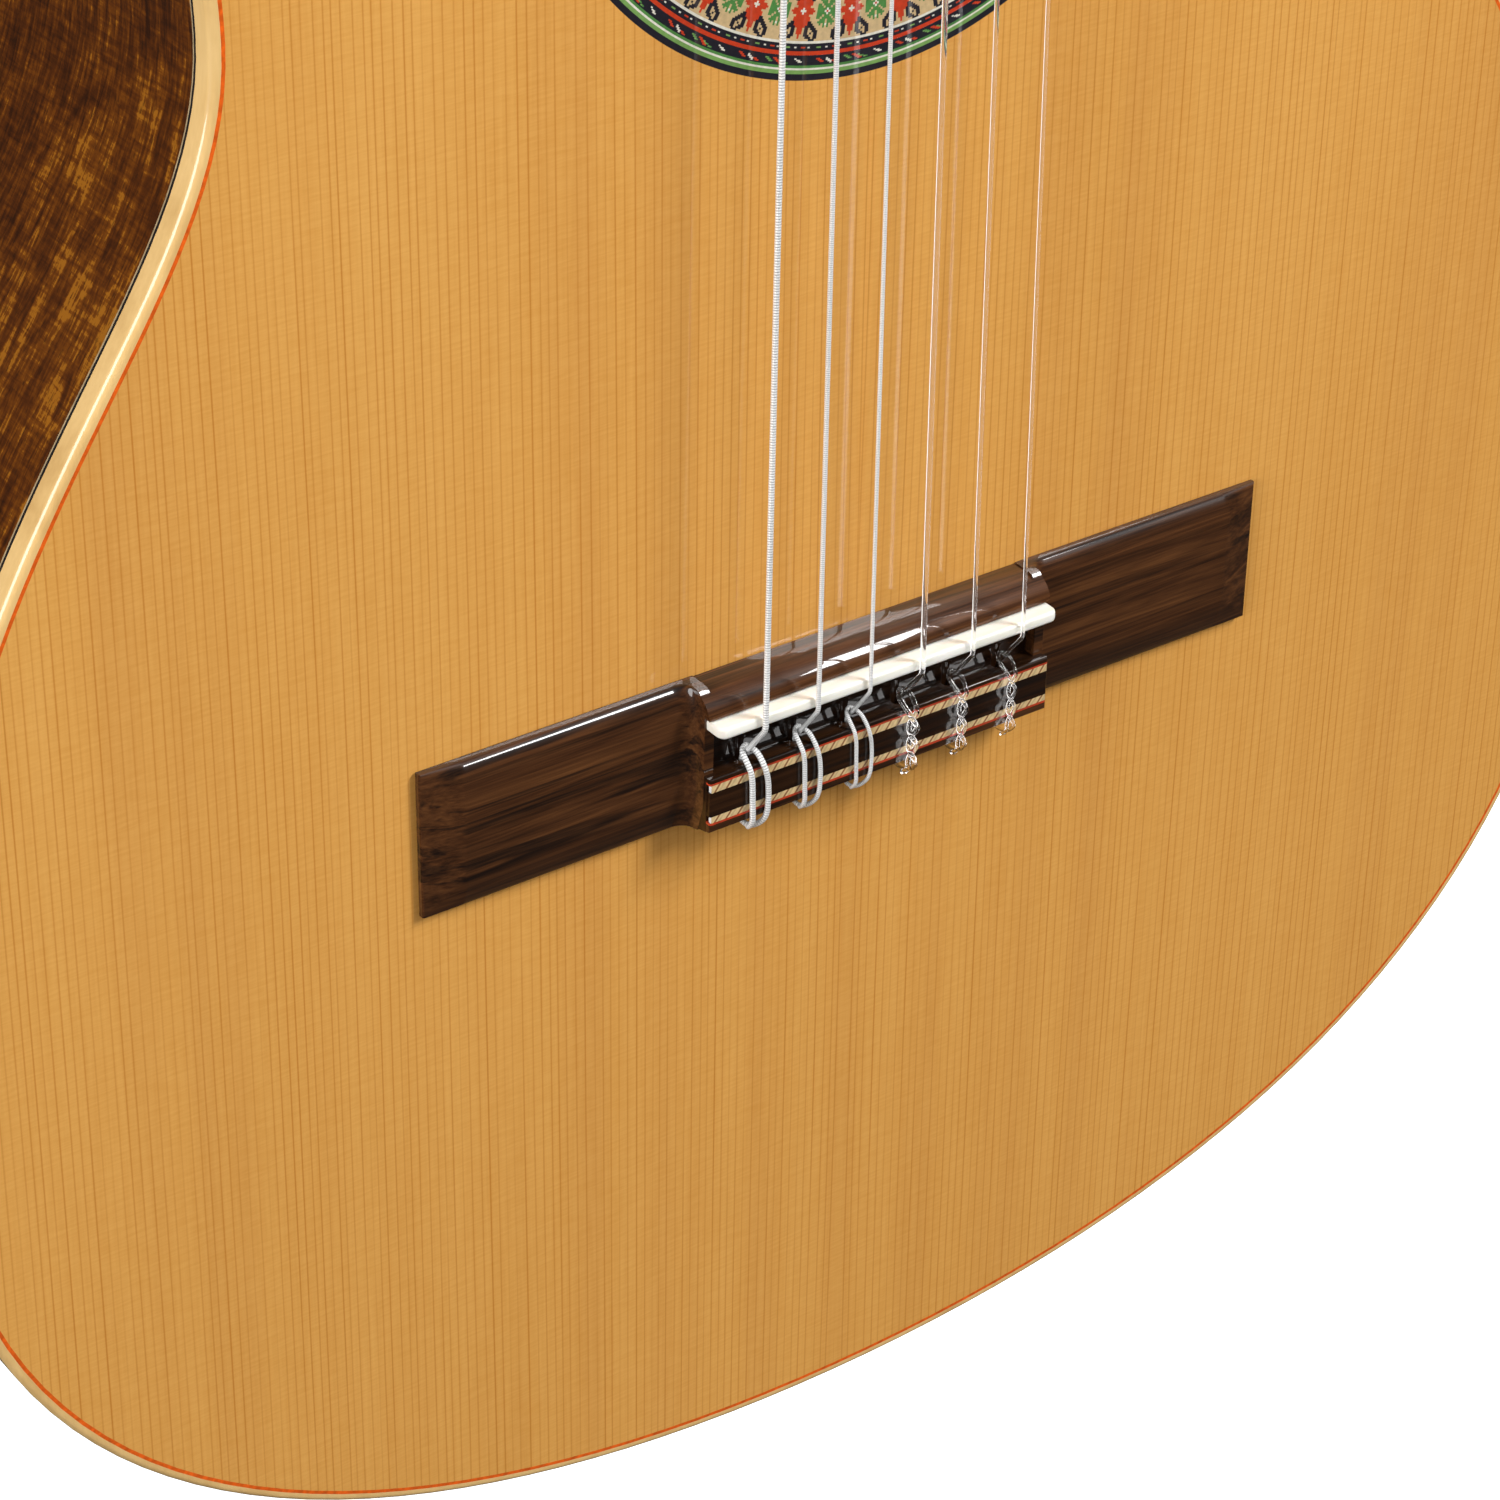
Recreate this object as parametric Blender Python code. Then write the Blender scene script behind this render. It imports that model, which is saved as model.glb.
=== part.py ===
"""Classical guitar of 650 mm scale, held upright by its headstock, as on a wall hanger.

Metres, +Z up. The origin is in the neck behind the nut, where a hanger's yoke takes hold.
The soundboard's outer face is the plane y = 0 and looks along -Y. The bass side is at -X.
Distances down the body are called "down" and count from the neck joint towards the tail.
"""

import math

import bmesh
import bpy
from mathutils import Matrix, Vector

GAP = 0.0003  # left between two pieces that are glued or seated on each other

# Strings and scale
SCALE = 0.650
STRING_COUNT = 6
STRING_DIAMETERS = (0.00108, 0.00088, 0.00074, 0.00102, 0.00082, 0.00071)
STRING_NAMES = ("e_low", "a", "d", "g", "b", "e_high")
SPREAD_AT_NUT = 0.043
SPREAD_AT_SADDLE = 0.0575

# Body
BODY_FRET = 12
BODY_LENGTH = 0.4949
UPPER_BOUT, UPPER_DOWN = 0.288, 0.092
WAIST, WAIST_DOWN = 0.2484, 0.181
LOWER_BOUT, LOWER_DOWN = 0.3754, 0.357
DEPTH_AT_NECK = 0.0910
DEPTH_AT_TAIL = 0.0960
BACK_ARCH = 0.0035
TOP_THICKNESS = 0.0023
BACK_THICKNESS = 0.0025
SIDE_THICKNESS = 0.0022
BINDING_WIDTH = 0.0022
BINDING_DEPTH = 0.0048
LINING_WIDTH = 0.0048
LINING_DEPTH = 0.0125
BLOCK_WIDTH = 0.070
NECK_BLOCK_LENGTH = 0.024
TAIL_BLOCK_LENGTH = 0.018

# Soundhole and rosette
SOUNDHOLE_FROM_NUT = 0.470
SOUNDHOLE_RADIUS = 0.043
ROSETTE_INNER, ROSETTE_OUTER = 0.0450, 0.0697
ROSETTE_THICKNESS = 0.0010

# Bars and struts
BAR_WIDTH, BAR_HEIGHT = 0.007, 0.016
BAR_OFFSET_FROM_HOLE = 0.016
BACK_BAR_WIDTH, BACK_BAR_HEIGHT = 0.008, 0.013
BACK_BARS_DOWN = (0.105, 0.210, 0.345)
FAN_COUNT = 7
FAN_WIDTH, FAN_HEIGHT = 0.0055, 0.0042
FAN_START_SPACING, FAN_END_SPACING = 0.023, 0.041
FAN_LENGTH = 0.205
FAN_SHORTENING = 0.013  # by which each strut is shorter than its inner neighbour

# Neck and fingerboard
NUT_WIDTH = 0.052
WIDTH_AT_JOINT = 0.062
NECK_THICKNESS_NUT, NECK_THICKNESS_HEEL = 0.0152, 0.0175
NECK_END_THICKNESS = 0.0186
BOARD_THICKNESS = 0.0060
FRET_COUNT = 19
FRET_WIDTH, FRET_HEIGHT = 0.0022, 0.0010
BOARD_END_CLEARANCE = 0.0016
NUT_LENGTH, NUT_HEIGHT = 0.0050, 0.0075
HEEL_TOP_WIDTH, HEEL_CAP_WIDTH = 0.0632, 0.0270
HEEL_TOP_REACH, HEEL_CAP_REACH = 0.060, 0.014
HEEL_CAP_THICKNESS = 0.0028

# Headstock, in its own tilted frame: "up" runs along it and "deep" runs into it
HEAD_ANGLE = math.radians(15)
HEAD_LENGTH = 0.196
HEAD_WIDTH = 0.070
HEAD_THICKNESS = 0.018
SHOULDER_UP = 0.020
VENEER_THICKNESS = 0.0020
SLOT_INNER, SLOT_OUTER = 0.0070, 0.0225
SLOT_START, SLOT_END = 0.036, 0.150
RAMP_START, RAMP_DEPTH = 0.018, 0.005
ROLLER_UPS = (0.058, 0.093, 0.128)

# Tuning machines
ROLLER_DEEP = 0.009
SLEEVE_RADIUS = 0.0048
SLEEVE_BORE_CLEARANCE = 0.0006
PIVOT_RADIUS, PIVOT_LENGTH = 0.0030, 0.0045
SPINDLE_RADIUS = 0.0022
PLATE_THICKNESS = 0.0012
PLATE_LOW, PLATE_HIGH = 0.041, 0.146
PLATE_DEPTH = 0.0140
GEAR_TEETH = 14
GEAR_PITCH_RADIUS = 0.0060
GEAR_THICKNESS = 0.0024
GEAR_STANDOFF = 0.0022
TOOTH_ADDENDUM, TOOTH_DEDENDUM = 0.0007, 0.0009
TOOTH_WIDTH_ROOT, TOOTH_WIDTH_TIP = 0.00135, 0.00060
WORM_PITCH_RADIUS = 0.0024
THREAD_WIDTH_ROOT, THREAD_WIDTH_TIP = 0.00110, 0.00060
WORM_TURNS = 2.2
COIL_TURNS = 2.25  # of each string round its roller
WORM_SHAFT_RADIUS = 0.00125
LUG_THICKNESS, LUG_HALF_WIDTH = 0.0016, 0.0026
LUG_OFFSET = 0.0060  # of a lug's middle from the worm's middle, along its shaft
LUG_BORE_CLEARANCE = 0.0003
BUTTON_START, BUTTON_LENGTH = 0.0225, 0.0150
BUTTON_WIDTH, BUTTON_THICKNESS = 0.0180, 0.0090
BUTTON_BORE_DEPTH = 0.0060

# Bridge
BRIDGE_LENGTH = 0.186
BRIDGE_FRONT, BRIDGE_REAR = 0.0063, -0.0229  # along Z, from the saddle's middle
WING_HEIGHT_FRONT, WING_HEIGHT_REAR = 0.0035, 0.0031
WING_EDGE_FRONT, WING_EDGE_REAR = 0.0009, 0.0014
WING_REAR_BEVEL, WING_END_BEVEL = 0.0060, 0.0080
CENTRE_LENGTH = 0.076
CREST_HEIGHT, CREST_ROUNDING = 0.0083, 0.0046
CHANNEL_HEIGHT = 0.0042
LEDGE_HEIGHT = 0.0064
TIE_BLOCK_HEIGHT, TIE_BLOCK_FRONT = 0.0087, -0.0104
TIE_BLOCK_REAR_LEAN = 0.0014
SADDLE_THICKNESS, SADDLE_TOP = 0.0026, 0.0117
SLOT_FLOOR = 0.0040
TIE_HOLE_HEIGHT, TIE_HOLE_RADIUS = 0.0052, 0.0013

# What follows from the sizes above
BODY_TOP = -SCALE * (1 - 2 ** (-BODY_FRET / 12))
SADDLE_Z = -SCALE - 0.001
SOUNDHOLE_Z = -SOUNDHOLE_FROM_NUT
INSIDE_INSET = BINDING_WIDTH + GAP
INSIDE_TOP = TOP_THICKNESS + GAP
WORM_DROP = GEAR_PITCH_RADIUS + WORM_PITCH_RADIUS
PLATE_X = HEAD_WIDTH / 2 + GAP
GEAR_X = PLATE_X + PLATE_THICKNESS + GEAR_STANDOFF
WORM_X = GEAR_X + GEAR_THICKNESS / 2
ARCH_HALF_WIDTH = LOWER_BOUT / 2


# ---------------------------------------------------------------- helpers


def clear_scene():
    for old in list(bpy.data.objects):
        bpy.data.objects.remove(old, do_unlink=True)


def material(name, colour, roughness, metallic=0.0):
    made = bpy.data.materials.new(name)
    made.use_nodes = True
    shader = made.node_tree.nodes["Principled BSDF"]
    shader.inputs["Base Color"].default_value = (*colour, 1.0)
    shader.inputs["Roughness"].default_value = roughness
    shader.inputs["Metallic"].default_value = metallic
    return made


def place(name, data, finish, parent=None):
    """Links one object that holds this mesh or curve."""
    obj = bpy.data.objects.new(name, data)
    bpy.context.scene.collection.objects.link(obj)
    if finish and not data.materials:
        data.materials.append(finish)
    obj.parent = parent
    return obj


def solid(name, bm, finish, parent=None):
    """One closed object from a bmesh, with its faces turned outwards."""
    bmesh.ops.recalc_face_normals(bm, faces=bm.faces)
    mesh = bpy.data.meshes.new(name)
    bm.to_mesh(mesh)
    bm.free()
    return place(name, mesh, finish, parent)


def helper(name, bm, parent=None):
    """A cutter or an operand of a Boolean, which isn't a piece of the guitar."""
    obj = solid(name, bm, None, parent)
    obj.hide_render = True
    obj.display_type = "WIRE"
    return obj


def boolean(obj, operand, operation):
    modifier = obj.modifiers.new(operand.name, "BOOLEAN")
    modifier.object = operand
    modifier.operation = operation
    modifier.solver = "EXACT"


def smooth(obj, degrees=35):
    obj.data.shade_smooth()
    obj.data.set_sharp_from_angle(angle=math.radians(degrees))


def loft(rings, closed=False):
    """A skin over rings with the same number of points, capped at both ends unless it closes on itself."""
    bm = bmesh.new()
    rows = [[bm.verts.new(point) for point in ring] for ring in rings]
    pairs = list(zip(rows, rows[1:]))
    if closed:
        pairs.append((rows[-1], rows[0]))
    else:
        bm.faces.new(rows[0])
        bm.faces.new(rows[-1])
    for first, second in pairs:
        for i in range(len(first)):
            j = (i + 1) % len(first)
            bm.faces.new((first[i], first[j], second[j], second[i]))
    return bm


def prism(points, direction):
    """A flat outline of 3-D points, extruded by a vector."""
    bm = bmesh.new()
    face = bm.faces.new([bm.verts.new(point) for point in points])
    grown = bmesh.ops.extrude_face_region(bm, geom=[face])
    moved = [item for item in grown["geom"] if isinstance(item, bmesh.types.BMVert)]
    bmesh.ops.translate(bm, verts=moved, vec=direction)
    return bm


def add_box(bm, low, high):
    corners = [(a + b) / 2 for a, b in zip(low, high)]
    sizes = [b - a for a, b in zip(low, high)]
    matrix = Matrix.Translation(corners) @ Matrix.Diagonal((*sizes, 1))
    bmesh.ops.create_cube(bm, size=1, matrix=matrix)


def add_cylinder(bm, start, end, radius, segments):
    start, end = Vector(start), Vector(end)
    along = end - start
    turn = along.to_track_quat("Z", "Y").to_matrix().to_4x4()
    bmesh.ops.create_cone(
        bm,
        cap_ends=True,
        segments=segments,
        radius1=radius,
        radius2=radius,
        depth=along.length,
        matrix=Matrix.Translation((start + end) / 2) @ turn,
    )


def turned(profile, segments):
    """A solid of revolution about X, from (x, radius) pairs that start and end on the axis."""
    bm = bmesh.new()
    points = [bm.verts.new((x, radius, 0)) for x, radius in profile]
    edges = [bm.edges.new(pair) for pair in zip(points, points[1:])]
    bmesh.ops.spin(
        bm,
        geom=points + edges,
        axis=(1, 0, 0),
        cent=(0, 0, 0),
        angle=math.tau,
        steps=segments,
        use_merge=True,
        use_duplicate=False,
    )
    bmesh.ops.remove_doubles(bm, verts=bm.verts, dist=1e-6)
    return bm


def ring(name, inner, outer, low, high, centre_z, segments=44):
    """A flat ring in the soundboard's plane, from a rectangle spun about Y."""
    bm = bmesh.new()
    corners = [(inner, low), (outer, low), (outer, high), (inner, high)]
    points = [bm.verts.new((radius, y, 0)) for radius, y in corners]
    edges = [bm.edges.new((points[i], points[(i + 1) % 4])) for i in range(4)]
    bmesh.ops.spin(
        bm,
        geom=points + edges,
        axis=(0, 1, 0),
        cent=(0, 0, 0),
        angle=math.tau,
        steps=segments,
        use_merge=True,
        use_duplicate=False,
    )
    bmesh.ops.remove_doubles(bm, verts=bm.verts, dist=1e-6)
    bmesh.ops.translate(bm, verts=bm.verts, vec=(0, 0, centre_z))
    return bm


# ---------------------------------------------------------------- the body's plan


def bezier(p0, p1, p2, p3, steps):
    """(point, tangent) pairs along a cubic Bezier curve, without its last point."""
    p0, p1, p2, p3 = (Vector(p) for p in (p0, p1, p2, p3))
    found = []
    for i in range(steps):
        t = i / steps
        s = 1 - t
        point = s**3 * p0 + 3 * s * s * t * p1 + 3 * s * t * t * p2 + t**3 * p3
        tangent = s * s * (p1 - p0) + 2 * s * t * (p2 - p1) + t * t * (p3 - p2)
        found.append((point, tangent.normalized()))
    return found


def half_plan(inset=0.0):
    """(x, down) points of the treble half of the body's outline, from neck to tail, moved inwards by inset."""
    upper, waist, lower = UPPER_BOUT / 2, WAIST / 2, LOWER_BOUT / 2
    rows = bezier((0, 0), (0.095, 0), (upper, 0.034), (upper, UPPER_DOWN), 8)
    rows += bezier(
        (upper, UPPER_DOWN),
        (upper, UPPER_DOWN + 0.042),
        (waist, WAIST_DOWN - 0.038),
        (waist, WAIST_DOWN),
        6,
    )
    rows += bezier(
        (waist, WAIST_DOWN),
        (waist, WAIST_DOWN + 0.0453),
        (lower, LOWER_DOWN - 0.1017),
        (lower, LOWER_DOWN),
        8,
    )
    rows += bezier(
        (lower, LOWER_DOWN),
        (lower, LOWER_DOWN + 0.0959),
        (0.102, BODY_LENGTH),
        (0, BODY_LENGTH),
        9,
    )
    rows.append((Vector((0, BODY_LENGTH)), Vector((-1, 0))))
    return [p + inset * Vector((-t.y, t.x)) for p, t in rows]


def plan_between(inset, least_x):
    """The half plan cut off at x = least_x, at the neck and at the tail."""
    points = half_plan(inset)
    kept = []
    for a, b in zip(points, points[1:]):
        if (a.x < least_x) != (b.x < least_x):
            kept.append(a.lerp(b, (least_x - a.x) / (b.x - a.x)))
        if b.x >= least_x:
            kept.append(b)
    return kept


def whole_plan(inset):
    """The closed outline, down the treble half and back up the bass half."""
    treble = half_plan(inset)
    bass = [Vector((-p.x, p.y)) for p in reversed(treble[1:-1])]
    return treble + bass


def at(point, y):
    """A plan point as a point in space."""
    return Vector((point.x, y, BODY_TOP - point.y))


def half_width(down, inset=0.0):
    """Half the body's width at this distance down it, where it is below the upper bout's shoulder."""
    points = half_plan(inset)
    for a, b in zip(points, points[1:]):
        if a.y <= down <= b.y:
            return a.x + (b.x - a.x) * (down - a.y) / (b.y - a.y)
    return 0.0


def back_y(x, down):
    """The arched back's outer surface."""
    taper = DEPTH_AT_NECK + (DEPTH_AT_TAIL - DEPTH_AT_NECK) * down / BODY_LENGTH
    return taper + BACK_ARCH * (1 - (x / ARCH_HALF_WIDTH) ** 2)


def inside_back(x, down):
    return back_y(x, down) - BACK_THICKNESS - GAP


# ---------------------------------------------------------------- body shell


def make_soundboard(spruce):
    outline = [at(p, 0) for p in whole_plan(INSIDE_INSET)]
    board = solid("soundboard", prism(outline, (0, TOP_THICKNESS, 0)), spruce)
    hole = bmesh.new()
    add_cylinder(
        hole,
        (0, -0.01, SOUNDHOLE_Z),
        (0, 0.01, SOUNDHOLE_Z),
        SOUNDHOLE_RADIUS,
        44,
    )
    boolean(board, helper("soundhole_cutter", hole), "DIFFERENCE")
    channel = ring(
        "rosette_channel",
        ROSETTE_INNER - GAP,
        ROSETTE_OUTER + GAP,
        -0.001,
        ROSETTE_THICKNESS + GAP,
        SOUNDHOLE_Z,
    )
    boolean(board, helper("rosette_channel", channel), "DIFFERENCE")


def make_rosette(mosaic):
    inlay = ring(
        "rosette", ROSETTE_INNER, ROSETTE_OUTER, 0, ROSETTE_THICKNESS, SOUNDHOLE_Z
    )
    solid("rosette", inlay, mosaic)


def make_back(tonewood):
    """The back: rows of points across the body, on its arched outer and inner surfaces."""
    half = half_plan(INSIDE_INSET)
    columns = [j / 3 for j in range(-3, 4)]
    bm = bmesh.new()
    surfaces = []
    for drop in (0.0, BACK_THICKNESS):
        rows = []
        for p in half:
            shares = columns if p.x > 1e-6 else [0.0]
            rows.append(
                [
                    bm.verts.new(
                        at(Vector((p.x * s, p.y)), back_y(p.x * s, p.y) - drop)
                    )
                    for s in shares
                ]
            )
        for a, b in zip(rows, rows[1:]):
            for j in range(len(columns) - 1):
                corners = [
                    a[min(j, len(a) - 1)],
                    a[min(j + 1, len(a) - 1)],
                    b[min(j + 1, len(b) - 1)],
                    b[min(j, len(b) - 1)],
                ]
                bm.faces.new(list(dict.fromkeys(corners)))
        surfaces.append(rows)
    outer, inner = surfaces
    for side in (0, -1):
        for i in range(len(outer) - 1):
            bm.faces.new(
                (outer[i][side], outer[i + 1][side], inner[i + 1][side], inner[i][side])
            )
    smooth(solid("back_plate", bm, tonewood))


def make_sides(tonewood):
    """The two ribs, which meet behind the heel and at the tail."""
    outer = plan_between(0.0, GAP / 2)
    inner = plan_between(SIDE_THICKNESS, GAP / 2)
    if len(outer) != len(inner):
        raise ValueError("the rib's two faces need the same points")
    for name, mirror in (("side_treble", 1), ("side_bass", -1)):
        rings = []
        for p, q in zip(outer, inner):
            front = BINDING_DEPTH + GAP
            rear = back_y(p.x, p.y) - BINDING_DEPTH - GAP
            p, q = Vector((mirror * p.x, p.y)), Vector((mirror * q.x, q.y))
            rings.append([at(p, front), at(p, rear), at(q, rear), at(q, front)])
        smooth(solid(name, loft(rings), tonewood))


def make_bindings(maple):
    outer, inner = whole_plan(0.0), whole_plan(BINDING_WIDTH)
    rings = [
        [at(p, 0), at(p, BINDING_DEPTH), at(q, BINDING_DEPTH), at(q, 0)]
        for p, q in zip(outer, inner)
    ]
    smooth(solid("top_binding", loft(rings, closed=True), maple))
    rings = []
    for p, q in zip(outer, inner):
        rear = back_y(p.x, p.y)
        front = rear - BINDING_DEPTH
        rings.append([at(p, front), at(p, rear), at(q, rear), at(q, front)])
    smooth(solid("back_binding", loft(rings, closed=True), maple))


def make_linings(cedar):
    """Four strips inside the corners, from the neck block to the tail block."""
    least_x = BLOCK_WIDTH / 2 + GAP
    outer = plan_between(INSIDE_INSET, least_x)
    inner = plan_between(INSIDE_INSET + LINING_WIDTH, least_x)
    if len(outer) != len(inner):
        raise ValueError("the lining's two faces need the same points")
    for side, mirror in (("treble", 1), ("bass", -1)):
        top_rings, back_rings = [], []
        for p, q in zip(outer, inner):
            rear = inside_back(p.x, p.y)
            p, q = Vector((mirror * p.x, p.y)), Vector((mirror * q.x, q.y))
            deep = INSIDE_TOP + LINING_DEPTH
            top_rings.append(
                [at(p, INSIDE_TOP), at(p, deep), at(q, deep * 0.7), at(q, INSIDE_TOP)]
            )
            front = rear - LINING_DEPTH
            back_rings.append(
                [at(p, front), at(p, rear), at(q, rear), at(q, front + 0.0045)]
            )
        smooth(solid(f"lining_top_{side}", loft(top_rings), cedar))
        smooth(solid(f"lining_back_{side}", loft(back_rings), cedar))


def make_blocks(cedar):
    """The neck block and the tail block, which follow the ribs outside and are flat inside."""
    half = BLOCK_WIDTH / 2
    whole = half_plan(INSIDE_INSET)
    ends = {
        "neck_block": ([p for p in whole if p.y < NECK_BLOCK_LENGTH], NECK_BLOCK_LENGTH),
        "tail_block": (
            [p for p in reversed(whole) if p.y > BODY_LENGTH / 2],
            BODY_LENGTH - TAIL_BLOCK_LENGTH,
        ),
    }
    for name, (points, flat) in ends.items():
        treble = []
        for a, b in zip(points, points[1:]):
            treble.append(a)
            if b.x > half:
                treble.append(a.lerp(b, (half - a.x) / (b.x - a.x)))
                break
        treble.append(Vector((half, flat)))
        bass = [Vector((-p.x, p.y)) for p in reversed(treble) if p.x > 1e-6]
        rear = min(inside_back(half, p.y) for p in treble)
        outline = [at(p, INSIDE_TOP) for p in treble + bass]
        solid(name, prism(outline, (0, rear - INSIDE_TOP, 0)), cedar)


def make_harmonic_bars(spruce):
    """Two bars across the soundboard, above and below the soundhole, thinned towards their ends."""
    for name, way in (("harmonic_bar_upper", 1), ("harmonic_bar_lower", -1)):
        centre = SOUNDHOLE_Z + way * (SOUNDHOLE_RADIUS + BAR_OFFSET_FROM_HOLE)
        down = BODY_TOP - centre
        reach = half_width(down, INSIDE_INSET + LINING_WIDTH) - 0.004
        top = INSIDE_TOP
        profile = [(-reach, top), (reach, top), (reach, top + BAR_HEIGHT / 4)]
        profile += [
            (reach - 0.030, top + BAR_HEIGHT),
            (0.030 - reach, top + BAR_HEIGHT),
            (-reach, top + BAR_HEIGHT / 4),
        ]
        points = [(x, y, centre - BAR_WIDTH / 2) for x, y in profile]
        solid(name, prism(points, (0, 0, BAR_WIDTH)), spruce)


def make_fan_braces(spruce):
    """Struts that spread from the lower harmonic bar towards the tail, under the bridge."""
    start_z = SOUNDHOLE_Z - SOUNDHOLE_RADIUS - BAR_OFFSET_FROM_HOLE - BAR_WIDTH
    for i in range(FAN_COUNT):
        place_in_fan = i - (FAN_COUNT - 1) / 2
        length = FAN_LENGTH - FAN_SHORTENING * abs(place_in_fan)
        lean = math.atan((FAN_END_SPACING - FAN_START_SPACING) / FAN_LENGTH * place_in_fan)
        half = FAN_WIDTH / 2
        low, mid, high = 0.0, FAN_HEIGHT * 0.55, FAN_HEIGHT
        section = [(-half, low), (half, low), (half, mid), (0, high), (-half, mid)]
        rings = []
        for along, share in ((0, 0.4), (0.025, 1), (length - 0.03, 1), (length, 0.4)):
            rings.append([(x, y * share, -along) for x, y in section])
        brace = solid(f"fan_brace_{i + 1}", loft(rings), spruce)
        brace.location = (place_in_fan * FAN_START_SPACING, INSIDE_TOP, start_z)
        brace.rotation_euler = (0, -lean, 0)


def make_back_braces(spruce):
    """Bars across the back, curved to its arch."""
    for i, down in enumerate(BACK_BARS_DOWN):
        reach = half_width(down, INSIDE_INSET + LINING_WIDTH) - 0.004
        edge = down - BACK_BAR_WIDTH / 2
        steps = 8
        arch = [reach * (2 * j / steps - 1) for j in range(steps + 1)]
        profile = [(x, inside_back(x, edge)) for x in arch]
        thin = BACK_BAR_HEIGHT / 3
        profile += [
            (reach, inside_back(reach, edge) - thin),
            (reach - 0.030, inside_back(reach, edge) - BACK_BAR_HEIGHT),
            (0.030 - reach, inside_back(reach, edge) - BACK_BAR_HEIGHT),
            (-reach, inside_back(reach, edge) - thin),
        ]
        points = [(x, y, BODY_TOP - edge - BACK_BAR_WIDTH) for x, y in profile]
        solid(f"back_brace_{i + 1}", prism(points, (0, 0, BACK_BAR_WIDTH)), spruce)


# ---------------------------------------------------------------- neck, heel and fingerboard


def board_half_width(z):
    """Half the fingerboard's width at this height, which grows evenly from the nut."""
    return (NUT_WIDTH + (WIDTH_AT_JOINT - NUT_WIDTH) * z / BODY_TOP) / 2


def neck_thickness(z):
    """From the fingerboard's underside to the back of the neck."""
    share = min(max(-z / -BODY_TOP, 0.0), 1.0)
    plain = NECK_THICKNESS_NUT + (NECK_THICKNESS_HEEL - NECK_THICKNESS_NUT) * share
    swell = max(0.0, 1 + (z - NUT_LENGTH) / 0.024)
    return plain + (NECK_END_THICKNESS - NECK_THICKNESS_NUT) * swell**2


def make_neck(cedar):
    """The shaft, of D-shaped sections, and the heel, of half-oval slices, carved as one piece."""
    joint = BODY_TOP + GAP
    stations = [joint + 0.002, -0.26, -0.16, -0.07, -0.02, -0.012, -0.004, NUT_LENGTH]
    rings = []
    for z in stations:
        half, deep = board_half_width(z), neck_thickness(z)
        angles = [math.pi * i / 12 for i in range(13)]
        rings.append(
            [(half * math.cos(a), deep * math.sin(a) ** 0.85, z) for a in angles]
        )
    neck = solid("neck", loft(rings), cedar)
    bottom = back_y(0, 0) - HEEL_CAP_THICKNESS - GAP
    slices = []
    for share in (0.006, 0.08, 0.16, 0.26, 0.40, 0.58, 0.78, 1.0):
        left = 1 - share
        wide = HEEL_CAP_WIDTH / 2 + (HEEL_TOP_WIDTH - HEEL_CAP_WIDTH) / 2 * left**1.6
        reach = HEEL_CAP_REACH + (HEEL_TOP_REACH - HEEL_CAP_REACH) * left**3
        slices.append(half_oval(wide, reach, bottom * share, joint))
    boolean(neck, helper("heel_stock", loft(slices)), "UNION")
    smooth(neck)
    cap_wide, cap_reach = HEEL_CAP_WIDTH / 2, HEEL_CAP_REACH
    cap = half_oval(cap_wide, cap_reach, bottom + GAP, joint)
    return cap


def half_oval(half, reach, y, base_z):
    """Half an oval in a plane of constant y: flat towards the body and round towards the nut."""
    angles = [math.pi * i / 10 for i in range(11)]
    return [
        Vector((half * math.cos(a), y, base_z + reach * math.sin(a))) for a in angles
    ]


def make_heel_cap(outline, tonewood):
    solid("heel_cap", prism(outline, (0, HEEL_CAP_THICKNESS, 0)), tonewood)


def fret_z(number):
    return -SCALE * (1 - 2 ** (-number / 12))


def make_fingerboard(ebony):
    """The board with its frets pressed in. Its lower end follows the soundhole's edge."""
    top = -GAP - BOARD_THICKNESS
    radius = SOUNDHOLE_RADIUS + BOARD_END_CLEARANCE
    corner = board_half_width(SOUNDHOLE_Z + radius * 0.7)
    steps = 12
    arc = [corner * (2 * i / steps - 1) for i in range(steps + 1)]
    outline = [(-NUT_WIDTH / 2, 0), *((x, end_of_board(x)) for x in arc)]
    outline.append((NUT_WIDTH / 2, 0))
    points = [(x, -GAP, z) for x, z in outline]
    board = solid("fingerboard", prism(points, (0, -BOARD_THICKNESS, 0)), ebony)
    frets = bmesh.new()
    for number in range(1, FRET_COUNT + 1):
        add_fret(frets, fret_z(number), top)
    boolean(board, helper("fret_wires", frets), "UNION")


def end_of_board(x):
    radius = SOUNDHOLE_RADIUS + BOARD_END_CLEARANCE
    return SOUNDHOLE_Z + math.sqrt(radius**2 - x**2)


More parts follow.
